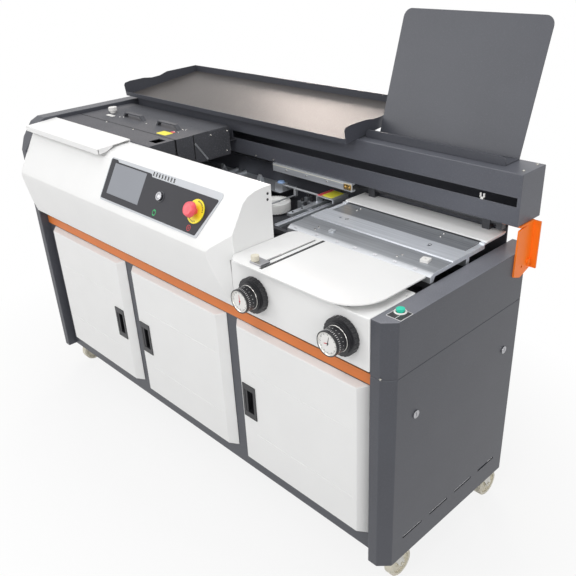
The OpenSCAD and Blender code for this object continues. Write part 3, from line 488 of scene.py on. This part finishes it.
# %% [markdown]
# The control panel is a pale plate with a dark printed foil on it. The foil stands a little
# higher than the plate, so its faces are told apart by their height over the slope of the hood.
# The walls of the vent slots are painted black as painted shade, which is how a slot in thick
# sheet looks from outside.

# %% The slope of the hood, and the plastic pieces
SLOPE_Y, SLOPE_Z = -52, 776
SLOPE = math.radians(59.2)
PLATE_TOP = 2.0
FOIL_TOP = 3.2
slope_out = Vector((0, -math.sin(SLOPE), math.cos(SLOPE)))


def height_over_slope(y, z):
    return -(y - SLOPE_Y) * math.sin(SLOPE) + (z - SLOPE_Z) * math.cos(SLOPE)


def over_slope(x, s, lift=FOIL_TOP):
    """A point x along the hood and s up its slope, lift off its surface, all in mm."""
    return at(x, SLOPE_Y + s * math.cos(SLOPE) - lift * math.sin(SLOPE),
              SLOPE_Z + s * math.sin(SLOPE) + lift * math.cos(SLOPE))


VENT_X, VENT_LOW, VENT_HIGH = -37, 113, 126.5
VENT_COUNT, VENT_PITCH, VENT_WIDTH = 8, 12.7, 6
VENTS_END = VENT_X + (VENT_COUNT - 1) * VENT_PITCH + VENT_WIDTH


def up_the_slope(y, z):
    return (y - SLOPE_Y) * math.cos(SLOPE) + (z - SLOPE_Z) * math.sin(SLOPE)


# Faces of the vent slot walls, which get black as painted shade.
def shaded_vent_wall(x, y, z):
    return (VENT_X - 1 < x < VENTS_END + 1 and 0.2 < height_over_slope(y, z) < PLATE_TOP - 0.2
            and VENT_LOW < up_the_slope(y, z) < VENT_HIGH)


dress("control_panel", panel_rim, rim=0.0003, regions=(
    (black_plastic, shaded_vent_wall),
    (panel_foil, lambda x, y, z: height_over_slope(y, z) > PLATE_TOP + 0.3)))
dress("touch_screen", screen_film, rim=0.0003)
for node in ("pleated_guard", "milling_motor", "left_dial_knob", "right_dial_knob",
             "left_handle", "middle_handle", "right_handle"):
    dress(node, black_plastic, rim=0.0004)
dress("milling_disc", drum_plastic, rim=0.0003)
dress("lid_knob", pale_plastic, rim=0.0003)
dress("stop_knob", cream_nylon, rim=0.0003)
for node in ("front_left_wheel", "front_right_wheel", "rear_left_wheel", "rear_right_wheel"):
    dress(node, cream_nylon, rim=0.0005)
dress("e_stop_ring", yellow_plastic, rim=0.0004)
dress("green_button", green_lens, rim=0.0006)
dress("start_button", steel, rim=0.0003)
print("plastic dressed")

# %% [markdown]
# ## Tools for small parts
# Screws, dials and marks are too small for the CAD model, but the eye looks for them. Each is
# drawn in millimetres in a seat: a point, an outward axis and a direction along the surface.
# Round things are turned from a profile, flat ones are cut from an outline. Blender's own
# primitives and modifiers could make them too, but every part would then need its own steps.


# %% Seats
def seat(place, up=(0, 0, 1), ahead=(1, 0, 0)):
    rise = Vector(up).normalized()
    across = rise.cross(Vector(ahead)).normalized()
    along = across.cross(rise)
    turned_axes = Matrix((along, across, rise)).transposed().to_4x4()
    return Matrix.Translation(place) @ turned_axes @ Matrix.Scale(MM, 4)


def on_hood(x, s, lift=FOIL_TOP):
    return seat(over_slope(x, s, lift), slope_out)


# %% Turned, boxed and cut shapes
def turned(bm, profile, place, steps=24, six=()):
    """Turns (radius, height) pairs about the seat's axis. Rings named in six are hexagons."""
    rings = []
    for index, (radius, height) in enumerate(profile):
        if radius == 0:
            rings.append([bm.verts.new(place @ Vector((0, 0, height)))])
            continue
        ring = []
        for k in range(steps):
            flat = math.cos(math.pi / 6) if index in six and k % 2 else 1
            angle = 2 * math.pi * k / steps
            ring.append(bm.verts.new(place @ Vector((
                radius * flat * math.cos(angle), radius * flat * math.sin(angle), height))))
        rings.append(ring)
    for low, high in zip(rings, rings[1:]):
        for k in range(steps):
            j = (k + 1) % steps
            quad = [low[k % len(low)], low[j % len(low)], high[j % len(high)], high[k % len(high)]]
            bm.faces.new(list(dict.fromkeys(quad)))


def block(bm, low, high, place):
    corners = [bm.verts.new(place @ Vector((x, y, z)))
               for z in (low[2], high[2]) for y in (low[1], high[1]) for x in (low[0], high[0])]
    for quad in ((0, 2, 3, 1), (4, 5, 7, 6), (0, 1, 5, 4), (2, 6, 7, 3), (0, 4, 6, 2),
                 (1, 3, 7, 5)):
        bm.faces.new([corners[i] for i in quad])


def plate(bm, outline, low, high, place):
    """An outline of x, y points, counter-clockwise, from low to high."""
    base = [bm.verts.new(place @ Vector((x, y, low))) for x, y in outline]
    top = [bm.verts.new(place @ Vector((x, y, high))) for x, y in outline]
    bm.faces.new(base[::-1])
    bm.faces.new(top)
    for k in range(len(outline)):
        j = (k + 1) % len(outline)
        bm.faces.new([base[k], base[j], top[j], top[k]])


def band(bm, inner, outer, low, high, place):
    """A flat closed loop between two outlines with as many points each."""
    rows = [[bm.verts.new(place @ Vector((x, y, z))) for x, y in line]
            for line, z in ((inner, low), (outer, low), (outer, high), (inner, high))]
    for a, b in zip(rows, rows[1:] + rows[:1]):
        for k in range(len(inner)):
            j = (k + 1) % len(inner)
            bm.faces.new([a[k], a[j], b[j], b[k]])


def circle(radius, steps=32, x=0.0, y=0.0):
    return [(x + radius * math.cos(2 * math.pi * k / steps),
             y + radius * math.sin(2 * math.pi * k / steps)) for k in range(steps)]


def rounded(low, high, radius, steps=5):
    """A rectangle with round corners, counter-clockwise from the right."""
    points = []
    for quarter, (cx, cy) in enumerate(((high[0], high[1]), (low[0], high[1]),
                                        (low[0], low[1]), (high[0], low[1]))):
        cx += -radius if quarter in (0, 3) else radius
        cy += -radius if quarter in (0, 1) else radius
        for k in range(steps + 1):
            angle = math.pi / 2 * (quarter + k / steps)
            points.append((cx + radius * math.cos(angle), cy + radius * math.sin(angle)))
    return points


# %% Screws, and the last step of a small part
def socket_screw(bm, place, size):
    turned(bm, [(0, -0.3), (size, -0.3), (size, 0.55 * size), (0.86 * size, 0.78 * size),
                (0.5 * size, 0.78 * size), (0.5 * size, 0.25 * size), (0, 0.25 * size)],
           place, 12, six={4, 5})


def detail(name, bm, node, material, slot, rim=0.0):
    bmesh.ops.recalc_face_normals(bm, faces=bm.faces)
    bm.normal_update()
    soften(bm, rim)
    return new_piece(name, bm, body_of(node), [material])


# %% [markdown]
# ## Control panel
# The start button has a turned bezel and a domed cap. The emergency stop is a mushroom with a
# rolled rim, and its ring carries short dark dashes where a real one has print. A green and a
# red ring mark start and stop. The marks are thin raised shapes and not painted pixels, so they
# stay sharp from near. A black sheet behind the vents is painted shade and hides the hollow hood.

# %% Start button
START_X, START_S = 23, 71
bm = bmesh.new()
turned(bm, [(11.4, -0.2), (14.2, -0.2), (14.2, 0.9), (12.6, 1.6), (11.4, 1.2), (11.4, -0.2)],
       on_hood(START_X, START_S), 36)
detail("start_bezel", bm, "control_panel", shaded_steel, "black_plastic")
bm = bmesh.new()
turned(bm, [(0, 7.4), (10.4, 7.4), (10.4, 7.9), (9.4, 8.3), (8.6, 7.8), (7.4, 8.5), (4.5, 9.4),
            (0, 9.8)], on_hood(START_X, START_S), 36)
detail("start_cap", bm, "start_button", steel, "bright_steel")

# %% Emergency stop
STOP_X, STOP_S = 172, 68
stem_foot = 3.5
bm = bmesh.new()
turned(bm, [(0, stem_foot), (8, stem_foot), (8, 13.6), (14.4, 14.2), (17.8, 16.6), (19.8, 19.4),
            (19.6, 21.4), (18.6, 24.6), (17.4, 28), (16, 30), (14, 30.9), (9, 30.7), (0, 30.3)],
       on_hood(STOP_X, STOP_S, PLATE_TOP), 48)
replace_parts(detail("e_stop_mushroom", bm, "e_stop_button", red_plastic, "red_plastic"),
            "e_stop_button")
bm = bmesh.new()
RING_TOP = 5.72
dash_angles = [8 + 9 * k for k in range(10)] + [216 + 12 * k for k in range(7)]
for angle in dash_angles:
    mark = on_hood(STOP_X, STOP_S, RING_TOP) @ Matrix.Rotation(math.radians(angle), 4, "Z")
    block(bm, (22.6, -1.1, -0.1), (26.8, 0.9, 0.12), mark)
detail("stop_dashes", bm, "e_stop_ring", black_ink_and_shade, "black_plastic")

# %% Rings that mark start and stop
bm = bmesh.new()
band(bm, circle(5.6), [(x, y * 1.15) for x, y in circle(7.2)], -0.1, 0.15, on_hood(17, 28))
block(bm, (-0.7, 2.6, -0.1), (0.7, 8.2, 0.16), on_hood(17, 28))
detail("start_mark", bm, "control_panel", green_ink, "green_plastic")
bm = bmesh.new()
band(bm, circle(6.2), circle(7.6), -0.1, 0.15, on_hood(164, 25))
band(bm, circle(1.8, 16), circle(3.0, 16), -0.1, 0.15, on_hood(164, 25))
detail("stop_mark", bm, "control_panel", red_ink, "red_plastic")

# %% Shade behind the vents
# The black sheet is painted shade for the hollow hood behind the slots.
bm = bmesh.new()
plate(bm, rounded((VENT_X - 4, VENT_LOW - 3), (VENTS_END + 4, VENT_HIGH - 0.5), 2), -3.4, -2.6,
      on_hood(0, 0, 0))
detail("vent_shade", bm, "hood", black_ink_and_shade, "black_plastic")
print("panel dressed")

# %% [markdown]
# ## Dial knobs
# A gauge sits in the end of each knob: white face, silver bezel, two hands and a ring of marks.
# The barrel has two rows of white strokes, and a bright wire lies round its foot. All of these
# ride on the knob, because the whole gauge turns with it. The strokes are repeated by a loop
# round the axis, which is how an engraver's dividing head would cut them.

# %% Gauges
KNOB_Z = 692
FACE_Y = -77.0
BARREL = 28.5
dials = {"left": (383, 94, 255), "right": (652, 78, 192)}
for side, (x, long_hand, short_hand) in dials.items():
    node = side + "_dial_knob"
    face = seat(at(x, FACE_Y, KNOB_Z), (0, -1, 0))
    bm = bmesh.new()
    turned(bm, [(0, -0.2), (25.2, -0.2), (25.2, 0.5), (24.6, 0.7), (0, 0.7)], face, 48)
    detail(side + "_dial_face", bm, node, pale_plastic, "white_paint")
    bm = bmesh.new()
    turned(bm, [(24.2, 0.4), (25.4, 0.4), (25.4, 2.9), (28.2, 2.8), (28.4, 2.2), (27.6, 2.96),
                (25.2, 2.98), (24.2, 1.6), (24.2, 0.4)], face, 48)
    detail(side + "_dial_bezel", bm, node, polished, "chrome")
    bm = bmesh.new()
    for k in range(60):
        stroke = face @ Matrix.Rotation(math.radians(6 * k), 4, "Z")
        inner = 18.6 if k % 5 == 0 else 20.6
        half_width = 0.45 if k % 5 == 0 else 0.2
        block(bm, (inner, -half_width, 0.6), (22.6, half_width, 0.82), stroke)
    detail(side + "_dial_marks", bm, node, black_ink_and_shade, "black_plastic")
    bm = bmesh.new()
    hand = face @ Matrix.Rotation(math.radians(long_hand), 4, "Z")
    plate(bm, [(-5, -0.9), (15, -0.3), (16.5, 0), (15, 0.3), (-5, 0.9)], 1.1, 1.4, hand)
    turned(bm, [(0, 0.6), (2.0, 0.6), (2.0, 1.6), (1.2, 2.0), (0, 2.0)], face, 20)
    colour = (red_ink, black_ink_and_shade) if side == "left" else (black_ink_and_shade, red_ink)
    detail(side + "_long_hand", bm, node, colour[0], "red_plastic")
    bm = bmesh.new()
    hand = face @ Matrix.Rotation(math.radians(short_hand), 4, "Z")
    plate(bm, [(1.9, -1.0), (9, -0.9), (11.5, 0), (9, 0.9), (1.9, 1.0)], 0.9, 1.2, hand)
    detail(side + "_short_hand", bm, node, colour[1], "black_plastic")

# %% Strokes on the barrels, and the wire at their feet
for side, (x, _, _) in dials.items():
    node = side + "_dial_knob"
    foot = seat(at(x, 0, KNOB_Z), (0, -1, 0))
    bm = bmesh.new()
    for k in range(40):
        stroke = foot @ Matrix.Rotation(math.radians(9 * k), 4, "Z")
        block(bm, (BARREL - 0.3, -0.5, 70), (BARREL + 0.15, 0.5, 74.5), stroke)
        if k % 2 == 0:
            block(bm, (BARREL - 0.3, -0.4, 61), (BARREL + 0.15, 0.4, 63.5), stroke)
    detail(side + "_barrel_strokes", bm, node, pale_ink, "white_paint")
    bm = bmesh.new()
    wire = [(BARREL + 0.2 + 0.8 * math.cos(a), 51.6 + 0.8 * math.sin(a))
            for a in [math.pi / 4 * k for k in range(8)] + [0.0]]
    turned(bm, wire, foot, 48)
    detail(side + "_barrel_wire", bm, node, polished, "chrome")
print("dials dressed")

# %% [markdown]
# ## Cover table
# A dark steel rule with fine marks lies in a groove of the table, beside the slot in which the
# side stop slides. A black sheet under the slot is painted shade and hides the white box below.
# The marks come from a loop over the millimetres, so their spacing is exact.

# %% Rule and slot
RULE_X, SLOT_X = 418, 399
TABLE_TOP = 770
BOX_TOP = 752.6
TABLE_FRONT, TABLE_BACK = -41, 160
bm = bmesh.new()
table_seat = seat(at(RULE_X, 0, TABLE_TOP))
RULE_HALF = 4.15
block(bm, (-RULE_HALF, TABLE_FRONT + 0.2, -1.25), (RULE_HALF, TABLE_BACK - 0.2, -0.1), table_seat)
detail("table_rule", bm, "cover_table", rule_steel, "black_plastic", rim=0.00015)
MARK_HALF = 4.0
MARK_COUNT = 39
MARK_STEP = 5
bm = bmesh.new()
for k in range(MARK_COUNT):
    y = TABLE_FRONT + 4 + MARK_STEP * k
    reach = 3.6 if k % 2 else 2.2
    block(bm, (-MARK_HALF, y - 0.3, -0.15), (reach - MARK_HALF, y + 0.3, -0.02), table_seat)
detail("rule_marks", bm, "cover_table", pale_ink, "white_paint")
# The black sheet under the slot is painted shade.
bm = bmesh.new()
plate(bm, rounded((SLOT_X - 34, -28), (SLOT_X - 6, 113), 3), 0, 0.7, seat(at(0, 0, BOX_TOP)))
detail("slot_shade", bm, "knob_box", black_ink_and_shade, "black_plastic", rim=0.0002)
print("rule in place")

# %% [markdown]
# ## Jaws
# The jaws carry screws, a pale stop block and a grey one, and clips along the front lip. They
# are placed one by one, because they stand where a fitter drilled for them, not in a grid.

# %% Screws and blocks on the jaws
JAW_TOP = 773
bm = bmesh.new()
for x, y in ((358, 191), (356, 206), (610, 209), (606, 195)):
    socket_screw(bm, seat(at(x, y, JAW_TOP)), 2.6)
detail("front_jaw_screws", bm, "front_jaw", polished, "chrome")
bm = bmesh.new()
for x, y in ((351, 352), (352, 365), (612, 348), (609, 365)):
    socket_screw(bm, seat(at(x, y, JAW_TOP)), 2.6)
detail("rear_jaw_screws", bm, "rear_jaw", polished, "chrome")
bm = bmesh.new()
for x, y in ((374.4, 287), (623.7, 291)):
    turned(bm, [(0, -0.4), (4.6, -0.4), (4.6, 0.3), (3.9, 0.5), (3.2, -0.2), (0, -0.2)],
           seat(at(x, y, JAW_TOP + 2)), 20)
detail("jaw_plugs", bm, "front_jaw", black_ink_and_shade, "black_plastic")


# %% Blocks and clips
def hole_for(outline, bore):
    """A round hole with one point for each point of the outline."""
    return [(bore * math.cos(a), bore * math.sin(a))
            for a in [math.atan2(y, x) for x, y in outline]]


def bored_block(bm, size, height, bore, place):
    """A square block with round corners and a bore through it."""
    outline = rounded((-size, -size), (size, size), size * 0.22, 7)
    band(bm, hole_for(outline, bore), outline, -0.1, height, place)


bm = bmesh.new()
bored_block(bm, 10, 6, 2.4, seat(at(667, 216, JAW_TOP), ahead=(1, 0.2, 0)))
detail("stop_block", bm, "front_jaw", pale_plastic, "pale_plastic", rim=0.0004)
bm = bmesh.new()
bored_block(bm, 7, 5, 2, seat(at(400, 206, JAW_TOP), ahead=(1, 0.2, 0)))
detail("grey_block", bm, "front_jaw", bright_aluminium, "aluminium", rim=0.0004)
bm = bmesh.new()
lip = Vector((0, -7, 13)).normalized()
for x in (306, 379, 444, 500, 559, 615, 670):
    place = seat(at(x, 176, 769.9), lip)
    plate(bm, rounded((-5, -2.6), (5, 2.6), 1), -0.5, 1.1, place)
    turned(bm, [(0, 1), (1.4, 1), (1.2, 1.9), (0, 2)], place, 12)
detail("lip_clips", bm, "front_jaw", steel, "bright_steel", rim=0.0002)
print("jaws dressed")

# %% [markdown]
# ## Head
# The lid over the head carries screws, a yellow plate and a red one without any print, and the
# pale knob stands beside a hinged base. Its end has a stiffening strip that runs down at an
# angle, painted bright as its highlight, and a cover plate that is screwed on behind it. The gaps
# between lid, cover and end plate are too narrow to light, so black strips stand in for them as
# painted shade.

# %% Lid fittings
HEAD_TOP = 905
bm = bmesh.new()
for x, y in ((-565, 239), (-548, 243), (-413, 240), (-388, 262), (-261, 236), (-243, 238),
             (-256, 264), (-245, 267)):
    socket_screw(bm, seat(at(x, y, HEAD_TOP)), 2.6)
detail("lid_screws", bm, "head_lid", polished, "chrome")
bm = bmesh.new()
for x, y in ((-537, 174), (-384, 174)):
    socket_screw(bm, seat(at(x, y, HEAD_TOP)), 2.8)
detail("cover_screws", bm, "head_cover", polished, "chrome")
bm = bmesh.new()
plate(bm, rounded((-294, 193), (-247, 223), 4), 0, 0.6, seat(at(0, 0, HEAD_TOP)))
detail("yellow_tag", bm, "head_lid", yellow_plastic, "yellow_plastic", rim=0.0001)
bm = bmesh.new()
plate(bm, rounded((-268, 225.5), (-252, 235), 2), 0, 0.7, seat(at(0, 0, HEAD_TOP)))
detail("red_tag", bm, "head_lid", red_plastic, "red_plastic", rim=0.0001)
bm = bmesh.new()
plate(bm, rounded((-628, 224), (-588, 238), 3), 0, 1.4, seat(at(0, 0, HEAD_TOP)))
for x in (-621, -595):
    turned(bm, [(0, 1.3), (2.4, 1.3), (2.4, 2.4), (1.8, 3), (0, 3)], seat(at(x, 231, HEAD_TOP)),
           16)
detail("knob_base", bm, "head_lid", pale_plastic, "pale_plastic", rim=0.0003)

# %% End of the head
HEAD_END = -184
# The bright strip on the end is a stiffener painted bright as its highlight.
bm = bmesh.new()
end = seat(at(HEAD_END, 0, 0), (1, 0, 0), (0, 1, 0))
strip = ((248.8, 877.4), (252.8, 880.6), (293.4, 825.3), (289.4, 822.1))
plate(bm, strip[::-1], -0.1, 1.5, end)
detail("end_stiffener", bm, "head_cover", lip_aluminium, "chrome", rim=0.0003)
# Black strips over the gaps between lid, cover and end plate are painted shade.
bm = bmesh.new()
LID_GAP_Y, END_GAP_Y, GAP = 180.5, 246.5, 2
block(bm, (-718, LID_GAP_Y, HEAD_TOP - 0.3), (HEAD_END, LID_GAP_Y + GAP, HEAD_TOP + 0.5),
      seat(at(0, 0, 0)))
for y in (LID_GAP_Y, END_GAP_Y):
    block(bm, (y, 834, -0.1), (y + GAP, HEAD_TOP, 0.5), end)
detail("head_seam_shade", bm, "head_cover", black_ink_and_shade, "black_plastic")
bm = bmesh.new()
plate(bm, [(300, 824), (376, 824), (379, 827), (379, 900), (376, 903), (300, 903)], -0.1, 1.2,
      end)
detail("end_cover", bm, "head_cover", head_paint, "dark_paint", rim=0.0004)
bm = bmesh.new()
for y, z in ((363.4, 834.9), (370, 893), (308, 893)):
    socket_screw(bm, seat(at(HEAD_END + 1.2, y, z), (1, 0, 0), (0, 1, 0)), 2.8)
detail("end_screws", bm, "head_cover", polished, "chrome")
print("head dressed")

# %% [markdown]
# ## Bay
# Between the hood and the beam lies the working bay. It is dark, and what stands out in it is
# bright: screws along the ledge, the sensor bracket's yellow plate with a red edge, a brass
# clamp, a blue cap beside the milling disc and a few blocks of the sensors. Only what the
# photograph shows clearly is made, because guessed machinery would look cluttered.

# %% Tags and clamps of the bay
BRACKET_TOP = 759.6
bracket = seat(at(0, 0, BRACKET_TOP))
# The yellow plate gets the brighter copy of the yellow, as painted light against the bay's shade.
bm = bmesh.new()
plate(bm, rounded((176, 405), (212, 455), 1.5), 0, 1.2, bracket)
detail("yellow_plate", bm, "sensor_bracket", lit_yellow, "yellow_plastic", rim=0.0002)
bm = bmesh.new()
block(bm, (164, 398, 0), (174, 456, 1.6), bracket)
detail("red_edge", bm, "sensor_bracket", red_plastic, "red_plastic", rim=0.0003)
bm = bmesh.new()
rail_face = seat(at(0, 400, 0), (0, -1, 0))
plate(bm, rounded((262, 799), (288, 814), 2), -0.1, 1.6, rail_face)
for x in (268, 282):
    turned(bm, [(0, 1.5), (3, 1.5), (3, 3), (2.2, 3.6), (0, 3.6)],
           seat(at(x, 400, 806), (0, -1, 0)), 16)
detail("brass_clamp", bm, "rail_strip", brass, "chrome", rim=0.0004)
# A cream strip along the rail's top edge is a painted highlight.
bm = bmesh.new()
block(bm, (-16, 812.5, -0.1), (260, 814, 0.4), rail_face)
detail("rail_highlight", bm, "rail_strip", painted_cream_highlight, "pale_plastic", rim=0.0001)

# %% Screws along the ledge
bm = bmesh.new()
for x, z in ((-219, 822), (-100, 822), (-22, 824)):
    socket_screw(bm, seat(at(x, 408, z), (0, -1, 0)), 3)
for x in (40, 120, 200):
    socket_screw(bm, seat(at(x, 400, 806), (0, -1, 0)), 2.4)
detail("ledge_screws", bm, "rear_beam", polished, "chrome")

# %% Cap and blocks of the sensors
FLOOR_TOP = 697.6
FREE_Z = 740
bm = bmesh.new()
cap = seat(at(2, 411, BRACKET_TOP), (0, 0, 1))
turned(bm, [(0, 0), (11, 0), (11, 3), (9.6, 4.6), (6, 5.2), (0, 5.2)], cap, 32)
detail("blue_cap", bm, "guide_rods", blue_plastic, "pale_plastic", rim=0.0)
bm = bmesh.new()
for low, high in (((96, 384, 0), (118, 404, 34)), ((100, 408, 0), (112, 430, 40)),
                  ((124, 372, 0), (140, 392, 30)), ((122, 398, 0), (146, 412, 36)),
                  ((206, 300, 0), (218, 330, 36))):
    block(bm, low, high, seat(at(0, 0, FLOOR_TOP)))
detail("sensor_blocks", bm, "bay_floor", dark_aluminium, "aluminium", rim=0.0006)
bm = bmesh.new()
for x, y, z in ((107, 394, 34), (106, 419, 40), (132, 382, 30), (134, 405, 36)):
    turned(bm, [(0, 0), (5, 0), (5, 5), (3.6, 6), (3.6, 9), (0, 9)],
           seat(at(x, y, FLOOR_TOP + z)), 16)
detail("sensor_caps", bm, "bay_floor", black_plastic, "black_plastic")
bm = bmesh.new()
for x, y in ((164.5, 300), (164.5, 336), (164.5, 420), (229, 296), (229, 350)):
    socket_screw(bm, seat(at(x, y, FREE_Z - (1 if x < 200 else 0))), 2.6)
detail("bar_screws", bm, "cross_bars", black_ink_and_shade, "black_plastic")
print("bay dressed")

# %% [markdown]
# ## Beam, hood end and side frame
# Two screws hold the end cap of the beam, a small clip sits in its slot, two screws hold the
# flange at the end of the hood, twelve hold the panel at the back, and the green button stands
# on a black plate with a pale line round it. Screws come from one turned profile each, which is
# cheaper than a real thread that nobody sees.

# %% Screws of beam, hood and frame
BEAM_TOP = 937
bm = bmesh.new()
for x, y in ((756, 433), (756, 492)):
    socket_screw(bm, seat(at(x, y, BEAM_TOP)), 3)
detail("beam_screws", bm, "rear_beam", zinc, "chrome")
bm = bmesh.new()
for y, z in ((84.7, 883.4), (83.5, 869.2)):
    turned(bm, [(0, -0.3), (3.2, -0.3), (3.2, 0.5), (2.4, 1), (1.4, 1), (1.4, 0.2), (0, 0.2)],
           seat(at(313, y, z), (1, 0, 0), (0, 1, 0)), 20)
detail("flange_screws", bm, "hood", black_ink_and_shade, "black_plastic")
bm = bmesh.new()
socket_screw(bm, seat(at(747, -28, 625.6), (0, -1, 0)), 2.6)
detail("seam_screw", bm, "right_upper_frame", zinc, "chrome")

# %% Screws round the rear panel
REAR = 461
bm = bmesh.new()
for x in (-700, -420, -140, 140, 420, 700):
    for z in (110, 790):
        turned(bm, [(0, -0.3), (4.2, -0.3), (4.2, 0.8), (3.2, 1.9), (1.2, 2.3), (1.2, 1.2),
                    (0, 1.2)], seat(at(x, REAR, z), (0, 1, 0)), 20)
detail("rear_panel_screws", bm, "rear_panel", zinc, "chrome")

# %% Clip in the slot of the beam
bm = bmesh.new()
SLOT_LOW = 862
clip = seat(at(675, 409, SLOT_LOW), (0, -1, 0))
block(bm, (-6, 0, -3), (-3, 14, 1.2), clip)
block(bm, (3, 0, -3), (6, 14, 1.2), clip)
block(bm, (-6, 0, -3), (6, 5, 1.2), clip)
detail("slot_clip", bm, "rear_beam", pale_plastic, "pale_plastic", rim=0.0003)

# %% Plate of the green button
bm = bmesh.new()
outline = rounded((-18.5, -19.5), (18.5, 19.5), 2, 7)
BUTTON_X, BUTTON_Y = 745, 31.5
PLATE_X, PLATE_Y = 750.4, 22
plate_seat = seat(at(PLATE_X, PLATE_Y, BOX_TOP))
hole = [(x + BUTTON_X - PLATE_X, y + BUTTON_Y - PLATE_Y) for x, y in hole_for(outline, 9.8)]
band(bm, hole, outline, 0, 0.6, plate_seat)
detail("button_plate", bm, "right_upper_frame", black_plastic, "black_plastic", rim=0.0001)
bm = bmesh.new()
band(bm, rounded((-17.6, -18.6), (17.6, 18.6), 1.4), rounded((-18.6, -19.6), (18.6, 19.6), 2),
     0.1, 0.75, plate_seat)
block(bm, (2.5, -18, 0.3), (3.7, -3, 0.72), plate_seat)
detail("button_outline", bm, "right_upper_frame", pale_ink, "white_paint")
bm = bmesh.new()
turned(bm, [(9.4, 0), (13.4, 0), (13.4, 1.6), (12.4, 2.6), (10.4, 2.6), (9.4, 1.8), (9.4, 0)],
       seat(at(BUTTON_X, BUTTON_Y, BOX_TOP)), 40)
detail("button_bezel", bm, "right_upper_frame", pale_plastic, "pale_plastic")
print("small parts of the frame in place")

# %% [markdown]
# ## Studio
# The photograph has a white background and soft light from above and from the front left. The
# floor keeps a light shadow near the machine and fades to plain white further out, so that no
# horizon shows. For the camera and for reflections the world is plain white, while its light on
# the object stays at a plain level. A picture of a studio as surroundings would do the same, but
# large lamps are easier to turn down one by one until white paint no longer burns out.

# %% Floor and world
scene = bpy.context.scene
scene.view_settings.view_transform = "Standard"
floor_bm = bmesh.new()
bmesh.ops.create_grid(floor_bm, x_segments=1, y_segments=1, size=30)
floor_mesh = bpy.data.meshes.new("floor")
floor_bm.to_mesh(floor_mesh)
floor_bm.free()
floor = bpy.data.objects.new("floor", floor_mesh)
scene.collection.objects.link(floor)


def seen_rays(tree):
    """1 for camera, glossy and transmitted rays, else 0."""
    path = tree.nodes.new("ShaderNodeLightPath")
    seen = path.outputs["Is Camera Ray"]
    for name in ("Is Glossy Ray", "Is Transmission Ray"):
        most = tree.nodes.new("ShaderNodeMath")
        most.operation = "MAXIMUM"
        link(tree, seen, most.inputs[0])
        link(tree, path.outputs[name], most.inputs[1])
        seen = most.outputs[0]
    return seen


def switch(tree, share, dull, bright, target):
    mix = tree.nodes.new("ShaderNodeMixShader")
    link(tree, share, mix.inputs[0])
    link(tree, dull, mix.inputs[1])
    link(tree, bright, mix.inputs[2])
    link(tree, mix.outputs[0], target)


world = bpy.data.worlds.new("studio")
scene.world = world
world.use_nodes = True
sky_tree = world.node_tree
sky = sky_tree.nodes["Background"]
sky.inputs["Color"].default_value = (1, 1, 1, 1)
sky.inputs["Strength"].default_value = 0.42
plain = sky_tree.nodes.new("ShaderNodeBackground")
plain.inputs["Color"].default_value = (1, 1, 1, 1)
plain.inputs["Strength"].default_value = 1.0
switch(sky_tree, seen_rays(sky_tree), sky.outputs[0], plain.outputs[0],
       sky_tree.nodes["World Output"].inputs["Surface"])

# %% Floor that fades to white
floor_paint = bpy.data.materials.new("pale_floor")
floor_paint.use_nodes = True
tree = floor_paint.node_tree
shader = tree.nodes["Principled BSDF"]
shader.inputs["Base Color"].default_value = (0.62, 0.62, 0.62, 1)
shader.inputs["Roughness"].default_value = 0.9
glow = tree.nodes.new("ShaderNodeEmission")
glow.inputs["Strength"].default_value = 1.0
coords = tree.nodes.new("ShaderNodeTexCoord").outputs["Object"]
oval = tree.nodes.new("ShaderNodeMapping")
oval.inputs["Scale"].default_value = (1 / 0.9, 1 / 0.6, 1)
link(tree, coords, oval.inputs["Vector"])
reach = tree.nodes.new("ShaderNodeVectorMath")
reach.operation = "LENGTH"
link(tree, oval.outputs["Vector"], reach.inputs[0])
far = spread(tree, reach.outputs["Value"], 0.9, 1.7, 0.85, 1)
both = tree.nodes.new("ShaderNodeMath")
both.operation = "MULTIPLY"
link(tree, far, both.inputs[0])
link(tree, seen_rays(tree), both.inputs[1])
switch(tree, both.outputs[0], shader.outputs[0], glow.outputs[0],
       tree.nodes["Material Output"].inputs["Surface"])
floor_mesh.materials.append(floor_paint)


# %% [markdown]
# Two large lamps stand above and in front, one at the loading end lights the facet of the hood,
# and a smaller one reaches into the bay. The warm one stands behind the machine, where its
# mirror image falls on the tray and gives the sheen that the photograph has there.


# %% Lamps
def softbox(name, place, aim, width, height, power, colour=(1, 1, 1)):
    data = bpy.data.lights.new(name, "AREA")
    data.shape = "RECTANGLE"
    data.size, data.size_y = width, height
    data.energy = power
    data.color = colour
    lamp = bpy.data.objects.new(name, data)
    lamp.location = place
    lamp.rotation_euler = (Vector(aim) - Vector(place)).to_track_quat("-Z", "Y").to_euler()
    scene.collection.objects.link(lamp)


softbox("overhead", (-0.3, 0.2, 3.4), (0, 0, 0.8), 3.0, 2.4, 38)
softbox("front_left", (-1.9, -3.0, 2.2), (0, 0, 0.5), 2.2, 1.8, 38)
softbox("loading_end", (3.2, -1.6, 1.9), (0.4, 0, 0.5), 1.8, 1.8, 32)
softbox("bay_light", (1.0, -2.2, 3.0), (0.1, 0, 0.85), 1.2, 1.2, 24)
softbox("tray_glow", (-3.3, 3.6, 2.2), (0, 0.2, 0.96), 1.1, 1.1, 85, (1, 0.86, 0.78))
